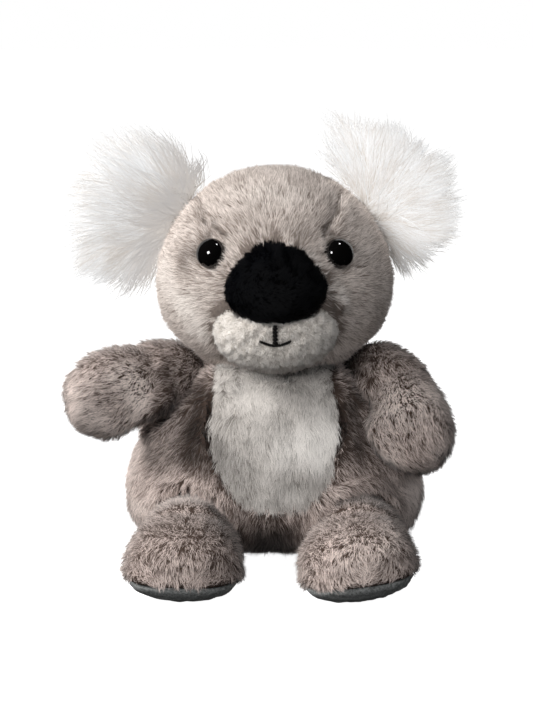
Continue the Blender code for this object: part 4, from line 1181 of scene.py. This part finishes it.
# How far the ears' hair reaches from its hub behind the seam: pairs of degrees from the way the ear points
# and millimetres.
EAR_RIMS = {
    RIGHT: ((-76, 24), (-72, 32), (-66, 33), (-56, 34), (-45, 40), (-32, 46), (-20, 49.5), (-9, 52),
            (3, 52.5), (14, 49), (25, 44), (33, 40), (41, 36), (48, 31), (54, 24)),
    LEFT: ((-62, 22), (-52, 29.5), (-40, 31), (-28, 34), (-15, 37), (2, 41.5), (11, 40.2), (20, 39.5),
           (33, 37.6), (48, 37.2), (61, 40.2), (72, 40.4), (79, 38), (86, 33), (92, 26), (98, 18)),
}
# How the hair fans: how much wider than from the hub, how far it all turns, and how much more the upper part.
EAR_FANS = {RIGHT: (1.2, radians(-15), 0.1), LEFT: (1.25, radians(2), 1.2)}
# How much painted brown-grey shade shows at the roots of each ear's hair, beside the head.
EAR_ROOT_SHADE = {RIGHT: 0.4, LEFT: 0.0}
# How far behind the seam the point lies that the hair fans from.
EAR_HUB = 13 * MM


def ear_trim(sign):
    """Makes the flap under the hair smaller than the outline that the hair gives the ear."""
    root = on_side(EAR_SEAM, sign)
    out, along = ear_axes(sign)

    def trim(places):
        reach = (places - root) @ out
        places = places - np.outer(0.38 * np.maximum(reach, 0) + 1.4 * MM * (1 - ramp(reach, 0, 4 * MM)), out)
        places -= np.outer(0.30 * ((places - root) @ along), along)
        places[:, 1] = EAR_SEAM[1] + (places[:, 1] - EAR_SEAM[1]) * 0.8
        return places
    return trim


class KOALA_OT_ears(bpy.types.Operator):
    """Builds both ears' flaps, for long white hair in front and grey plush behind"""
    bl_idname = "koala.ears"
    bl_label = "Ears"

    def execute(self, context):
        for sign, side in SIDES:
            front = stuffed_form(side + "_ear_flap", (side + "_ear_front",), look("white_backing"),
                                 voxel=0.8 * MM, inset=0.2 * MM, passes=3, trim=ear_trim(sign))
            keep_form(side + "_ear", front, side + "_ear", "white_plush", 0.4, side + "_ear_front")
            back = stuffed_form(side + "_ear_back_flap", (side + "_ear_back",), look("beige_backing"),
                                voxel=0.8 * MM, inset=0.3 * MM, passes=3)
            keep_form(side + "_ear_back", back, side + "_ear", "grey_plush", 0.4, side + "_ear_back")
        return {"FINISHED"}


def rays_from_hub(points, hub):
    """The way from the ear's hub to each point, seen from in front."""
    rays = points - hub
    rays[:, 1] = 0
    return rays


def grow_ear_hair(size, sign, side, seed):
    """Silky hair that fans from the seam and ends in tufts at the ear's outline."""
    out, along = ear_axes(sign)
    root = on_side(EAR_SEAM, sign)
    hub = root - out * EAR_HUB
    spread, turn, more = EAR_FANS[sign]
    steps, radii = np.array(EAR_RIMS[sign], float).T * np.array([[pi / 180], [MM]])
    points, normals = scattered(FORMS[side + "_ear"], spacing=0.95 * MM, seed=seed)
    shown = normals[:, 1] < 0.6
    points, normals = points[shown], normals[shown]
    ray = rays_from_hub(points, hub)
    angle = np.arctan2(ray @ along, ray @ out)
    reach = (points - root) @ out
    fan = angle * spread + turn + more * np.maximum(angle - radians(22), 0)
    ways = np.outer(np.cos(fan), out) + np.outer(np.sin(fan), along)
    ways = ruffled(ways, points, (0.14, 14 * MM, seed + 1), (0.07, 5 * MM, seed + 2))
    ways[:, 1] += -0.30 - 0.35 * (1 - ramp(reach, 0, 16 * MM))
    ways -= 0.6 * np.outer(1 - ramp(reach, 0, 2.5 * MM), out)
    tuft = ripple(points, 9 * MM, seed + 3)[:, 0] * 2.4 * MM
    length = size.ears * np.clip(0.72 + 0.5 * (np.abs(angle) - radians(35)), 0.72, 1.05)
    for _ in range(8):
        tips = points + unit(ways) * length[:, None] - hub
        rim = np.interp(np.arctan2(tips @ along, tips @ out), steps, radii) + tuft
        far = np.hypot(tips @ out, tips @ along) > rim
        length = np.where(far, length * 0.92, length)
    length = np.maximum(length, 6 * MM)
    ways, length = drawn_together(points, ways, length, size=5.0 * MM, pull=0.45, seed=seed + 4)
    comb, lean = laid(ways, normals, flattest=radians(80))
    # Painted shade: the roots by the seam turn towards the shaded brown-grey.
    painted_light_level = EAR_ROOT_SHADE[sign] * (1 - ramp(reach, 0, 3.5 * MM))
    facing = unit(0.35 * normals + 0.65 * np.array([-0.35, -0.75, 0.45]))
    grow(side + "_ear_hair", side + "_ear", "white", seed + 5, points, normals, comb, length, lean,
         painted_light_level, facing)


def grow_ear_back(size, sign, side, seed):
    """Grey plush behind the ear, laid back over the edge along the seam."""
    out, _ = ear_axes(sign)
    root = on_side(EAR_SEAM, sign)
    points, normals = scattered(FORMS[side + "_ear_back"], spacing=1.1 * MM, seed=seed + 6)
    shown = normals[:, 1] > -0.3
    points, normals = points[shown], normals[shown]
    edge = 1 - ramp((points - root) @ out, 0, MM)
    ways = unit(rays_from_hub(points, root - out * EAR_HUB))
    ways = ruffled(ways, points, (0.2, 8 * MM, seed + 7)) + np.outer(edge, BACK * 1.5)
    length = size.ear_backs * (1 - 0.4 * edge)
    lean = radians(58) + radians(14) * edge
    facing = unit(normals + np.array([0, -0.3, 0.9]))
    grow(side + "_ear_back_pile", side + "_ear", "beige", seed + 8, points, normals,
         along_surface(ways, normals), length, lean, None, facing)


# Arms and legs

EAR_SEEDS = {LEFT: 70, RIGHT: 80}
ARM_SEED = 100
LEG_SEED = 200
# The way a foot points.
FOOT_WAY = np.array([0, -1.0, -0.1])


def arm_way(side, sign):
    """The way an arm points."""
    turn, droop = ARM_TURNS[side]
    return np.array([sign * cos(turn) * cos(droop), -sin(turn) * cos(droop), -sin(droop)])


# Where the stuffing makes each arm fuller, at the top of the shoulder and at the hand's lower and inner side:
# the place, how far and how wide, in millimetres.
FULL_ARMS = {
    "right": (((-30, -9, 70), 2.6, 9), ((-25, -12, 66), 2.6, 8), ((-43, -29, 43), 4.5, 8.5),
              ((-34, -27, 51), 5.5, 8), ((-38, -23, 53), 2.5, 7)),
    "left": (((30, -9, 70), 2.6, 9), ((25, -12, 66), 2.6, 8), ((31, -31, 46), 6.5, 8),
             ((34, -36, 38), 2.8, 9)),
}


def arm_sculpt(side, sign):
    """A root as round as its socket, and the fuller places."""
    def sculpt(places):
        full = sum(depth * MM * bump(places, np.array(place) * MM, wide * MM)
                   for place, depth, wide in FULL_ARMS[side])
        return full + LIMB_INSET * near_joints(places, [on_side(SHOULDER, sign)], 13 * MM)
    return sculpt


def leg_sculpt(side, sign):
    """A root as round as its socket, and a foot that stands on its sole."""
    def sculpt(places):
        full = LIMB_INSET * np.clip((5 * MM - gap_to(TREES[side + "_sole"], places)) / (2.5 * MM), 0, 1)
        return full + LIMB_INSET * near_joints(places, [on_side(HIP, sign)], 13.5 * MM)
    return sculpt


def sole_sculpt(places):
    """Felt a little thicker than its solid, and uneven."""
    return 0.45 * MM + 0.12 * MM * ripple(places, 2.5 * MM, 91)[:, 0]


class KOALA_OT_arms(bpy.types.Operator):
    """Builds both stuffed arms"""
    bl_idname = "koala.arms"
    bl_label = "Arms"

    def execute(self, context):
        for sign, side in SIDES:
            nodes = side + "_arm_skin", side + "_arm_stuffing"
            form = stuffed_form(side + "_arm_plush", nodes, look("taupe_backing"),
                                voxel=1.2 * MM, inset=LIMB_INSET, passes=6, sculpt=arm_sculpt(side, sign))
            keep_form(side + "_arm", form, side + "_arm", "grey_plush", 0.8, *nodes)
        return {"FINISHED"}


class KOALA_OT_legs(bpy.types.Operator):
    """Builds both stuffed feet and their felt soles"""
    bl_idname = "koala.legs"
    bl_label = "Legs and soles"

    def execute(self, context):
        for sign, side in SIDES:
            sole = stuffed_form(side + "_sole_felt", (side + "_sole",), look("felt"),
                                voxel=0.7 * MM, inset=0.0, passes=2, sculpt=sole_sculpt)
            keep_form(side + "_sole", sole, side + "_leg", "grey_felt", 0.3, side + "_sole")
            nodes = side + "_leg_skin", side + "_leg_stuffing"
            form = stuffed_form(side + "_leg_plush", nodes, look("taupe_backing"),
                                voxel=1.2 * MM, inset=LIMB_INSET, passes=6, sculpt=leg_sculpt(side, sign))
            keep_form(side + "_leg", form, side + "_leg", "grey_plush", 0.8, *nodes)
        return {"FINISHED"}


def grow_limb(size, name, joint, way, neighbours, seed, sole=None):
    """Ruffled pile, combed down the limb, which shortens and turns outward where a foot meets its sole."""
    points, normals = scattered(FORMS[name], spacing=1.3 * MM, seed=seed)
    shown = (points - joint) @ way > -9 * MM
    if sole:
        shown &= gap_to(sole, points) > 1.5 * MM
    points, normals, room = with_room(points[shown], normals[shown], neighbours, reach=5 * MM, least=0.01)
    fall = np.full(len(points), 0.35)
    short = 1.0
    if sole:
        near = gap_to(sole, points)
        fall = 0.35 * np.clip((near - 3 * MM) / (4 * MM), -0.6, 1)
        short = 0.6 + 0.4 * ramp(near, 1.5 * MM, 4 * MM)
    ways = ruffled(way - fall[:, None] * UP, points, (0.28, 15 * MM, seed + 1), (0.12, 6 * MM, seed + 2))
    length = size.limbs * (0.6 + 0.4 * room) * short * varied(points, 0.07, 8 * MM, seed + 3)
    lean = swaying(radians(60), points, 0.12, 6 * MM, seed + 4)
    # Painted shade and painted highlights on the arms and legs go into the pile's colour.
    grow(name + "_pile", name, "taupe", seed + 5, points, normals, along_surface(ways, normals), length, lean,
         painted_light(points, PAINTED_LIGHT_STROKES[name]))


class KOALA_OT_pile(bpy.types.Operator):
    """Grows all the pile, once every form stands, so that it makes room for its neighbours"""
    bl_idname = "koala.pile"
    bl_label = "Pile"

    def execute(self, context):
        size = context.scene.koala_pile
        for part in (grow_body, grow_belly, grow_head, grow_nose, grow_muzzle):
            part(size)
        for sign, side in SIDES:
            grow_ear_hair(size, sign, side, EAR_SEEDS[sign])
            grow_ear_back(size, sign, side, EAR_SEEDS[sign])
            grow_limb(size, side + "_arm", on_side(SHOULDER, sign), arm_way(side, sign), ("body", "head"),
                      ARM_SEED + sign)
            grow_limb(size, side + "_leg", on_side(HIP, sign), FOOT_WAY, ("body",), LEG_SEED + sign,
                      TREES[side + "_sole"])
        return {"FINISHED"}


class KOALA_OT_inside(bpy.types.Operator):
    """Gives what stays inside its finish: washers and the pellet bag"""
    bl_idname = "koala.inside"
    bl_label = "Inside"

    def execute(self, context):
        nylon = inside_material("nylon_moulded_natural", linear("d9d5cb"), 0.45, 0.5 * MM)
        calico = inside_material("cotton_calico_plain", linear("cfc7b8"), 0.9, 0.8 * MM)
        for name, finish in (("left_eye_washer", nylon), ("right_eye_washer", nylon), ("pellet_bag", calico)):
            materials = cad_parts[name].data.materials
            materials.clear()
            materials.append(finish)
        return {"FINISHED"}


# Stage

LIGHT_AIM = Vector((0, 0, 0.07))
CAMERA_AIM = Vector((-0.0027, 0, 0.0654))
CAMERA_AWAY = 0.66
CAMERA_RISE = radians(12)


def area_light(name, place, size, power, colour, mirrored):
    """A round soft light, aimed at the toy. One that isn't mirrored leaves no spot on the eyes."""
    lamp = bpy.data.lights.new(name, "AREA")
    lamp.shape = "DISK"
    lamp.size = size
    lamp.energy = power
    lamp.color = colour
    holder = bpy.data.objects.new(name, lamp)
    holder.location = place
    holder.rotation_euler = (LIGHT_AIM - Vector(place)).to_track_quat("-Z", "Y").to_euler()
    holder.visible_glossy = mirrored
    bpy.context.scene.collection.objects.link(holder)


def floor_material():
    """Matt laminate, printed white: evenly bright, with only a soft shadow under the toy."""
    return two_tone("laminate_matt_white", linear("f4f4f4"), linear("f8f8f8"), noise(4 * MM, Detail=2.0),
                    {"Roughness": 0.9, "Specular IOR Level": 0.2, "Emission Color": (1, 1, 1, 1),
                     "Emission Strength": 0.97})


def studio_world(strength):
    """White to look at, and a faint light from all around."""
    sky = bpy.data.worlds.new("studio")
    sky.use_nodes = True
    tree = sky.node_tree
    tree.nodes.clear()
    path = add(tree, "ShaderNodeLightPath")
    room = add(tree, "ShaderNodeBackground", {"Color": (1, 1, 1, 1), "Strength": strength})
    seen = add(tree, "ShaderNodeBackground", {"Color": (1, 1, 1, 1), "Strength": 1.0})
    both = add(tree, "ShaderNodeMixShader", {},
               {0: path.outputs["Is Camera Ray"], 1: room.outputs[0], 2: seen.outputs[0]})
    add(tree, "ShaderNodeOutputWorld", {}, {"Surface": both.outputs[0]})
    sky.cycles_visibility.glossy = False
    return sky


class KOALA_OT_stage(bpy.types.Operator):
    """Sets the pale floor, the soft studio lights and the camera"""
    bl_idname = "koala.stage"
    bl_label = "Stage"

    def execute(self, context):
        scene = context.scene
        form = bmesh.new()
        bmesh.ops.create_circle(form, cap_ends=True, segments=96, radius=3.0)
        mesh = bpy.data.meshes.new("studio_floor")
        form.to_mesh(mesh)
        form.free()
        floor = show(bpy.data.objects.new("studio_floor", mesh), floor_material())
        # The floor is bright to look at and lights nothing, so the shadows on the toy keep their depth.
        floor.visible_diffuse = False
        floor.visible_glossy = False
        light = scene.koala_stage
        # The eyes mirror the front and top lights alone.
        area_light("side_light", (-0.857, -0.075, 0.672), 0.36, light.key, (1.0, 0.99, 0.98), False)
        area_light("front_light", (-0.566, -0.808, 0.43), 0.26, light.front, (1.0, 0.995, 0.99), True)
        area_light("top_light", (0.31, -0.18, 1.05), 0.14, light.top, (1.0, 1.0, 1.0), True)
        area_light("fill_light", (0.337, -0.927, 0.43), 0.5, light.fill, (0.95, 0.97, 1.0), False)
        scene.world = studio_world(light.room)
        scene.view_settings.view_transform = "Standard"
        lens = bpy.data.cameras.new("photo_camera")
        lens.lens = 100
        lens.sensor_width = 36
        lens.sensor_fit = "AUTO"
        lens.clip_start = 0.01
        camera = bpy.data.objects.new("photo_camera", lens)
        camera.location = CAMERA_AIM + Vector((0, -cos(CAMERA_RISE), sin(CAMERA_RISE))) * CAMERA_AWAY
        camera.rotation_euler = (radians(90) - CAMERA_RISE, 0, 0)
        scene.collection.objects.link(camera)
        scene.camera = camera
        return {"FINISHED"}


STEPS = (
    KOALA_OT_stage, KOALA_OT_body, KOALA_OT_belly, KOALA_OT_head, KOALA_OT_nose, KOALA_OT_muzzle,
    KOALA_OT_mouth, KOALA_OT_eyes, KOALA_OT_ears, KOALA_OT_arms, KOALA_OT_legs, KOALA_OT_pile, KOALA_OT_inside,
)


class KOALA_PT_panel(bpy.types.Panel):
    """Lists the koala's sizes, colours and building steps"""
    bl_idname = "KOALA_PT_panel"
    bl_label = "Plush koala"
    bl_space_type = "VIEW_3D"
    bl_region_type = "UI"
    bl_category = "Koala"

    def draw(self, context):
        for group in (context.scene.koala_pile, context.scene.koala_colours, context.scene.koala_stage):
            box = self.layout.box()
            for name in group.__annotations__:
                box.prop(group, name)
        for step in STEPS:
            self.layout.operator(step.bl_idname)


CLASSES = (KoalaPile, KoalaColours, KoalaStage, *STEPS, KOALA_PT_panel)


def register():
    for kind in CLASSES:
        bpy.utils.register_class(kind)
    bpy.types.Scene.koala_pile = PointerProperty(type=KoalaPile)
    bpy.types.Scene.koala_colours = PointerProperty(type=KoalaColours)
    bpy.types.Scene.koala_stage = PointerProperty(type=KoalaStage)


def unregister():
    del bpy.types.Scene.koala_pile
    del bpy.types.Scene.koala_colours
    del bpy.types.Scene.koala_stage
    for kind in reversed(CLASSES):
        bpy.utils.unregister_class(kind)


def main():
    register()
    for step in STEPS:
        getattr(bpy.ops.koala, step.bl_idname.split(".")[1])()


if __name__ == "__main__":
    main()
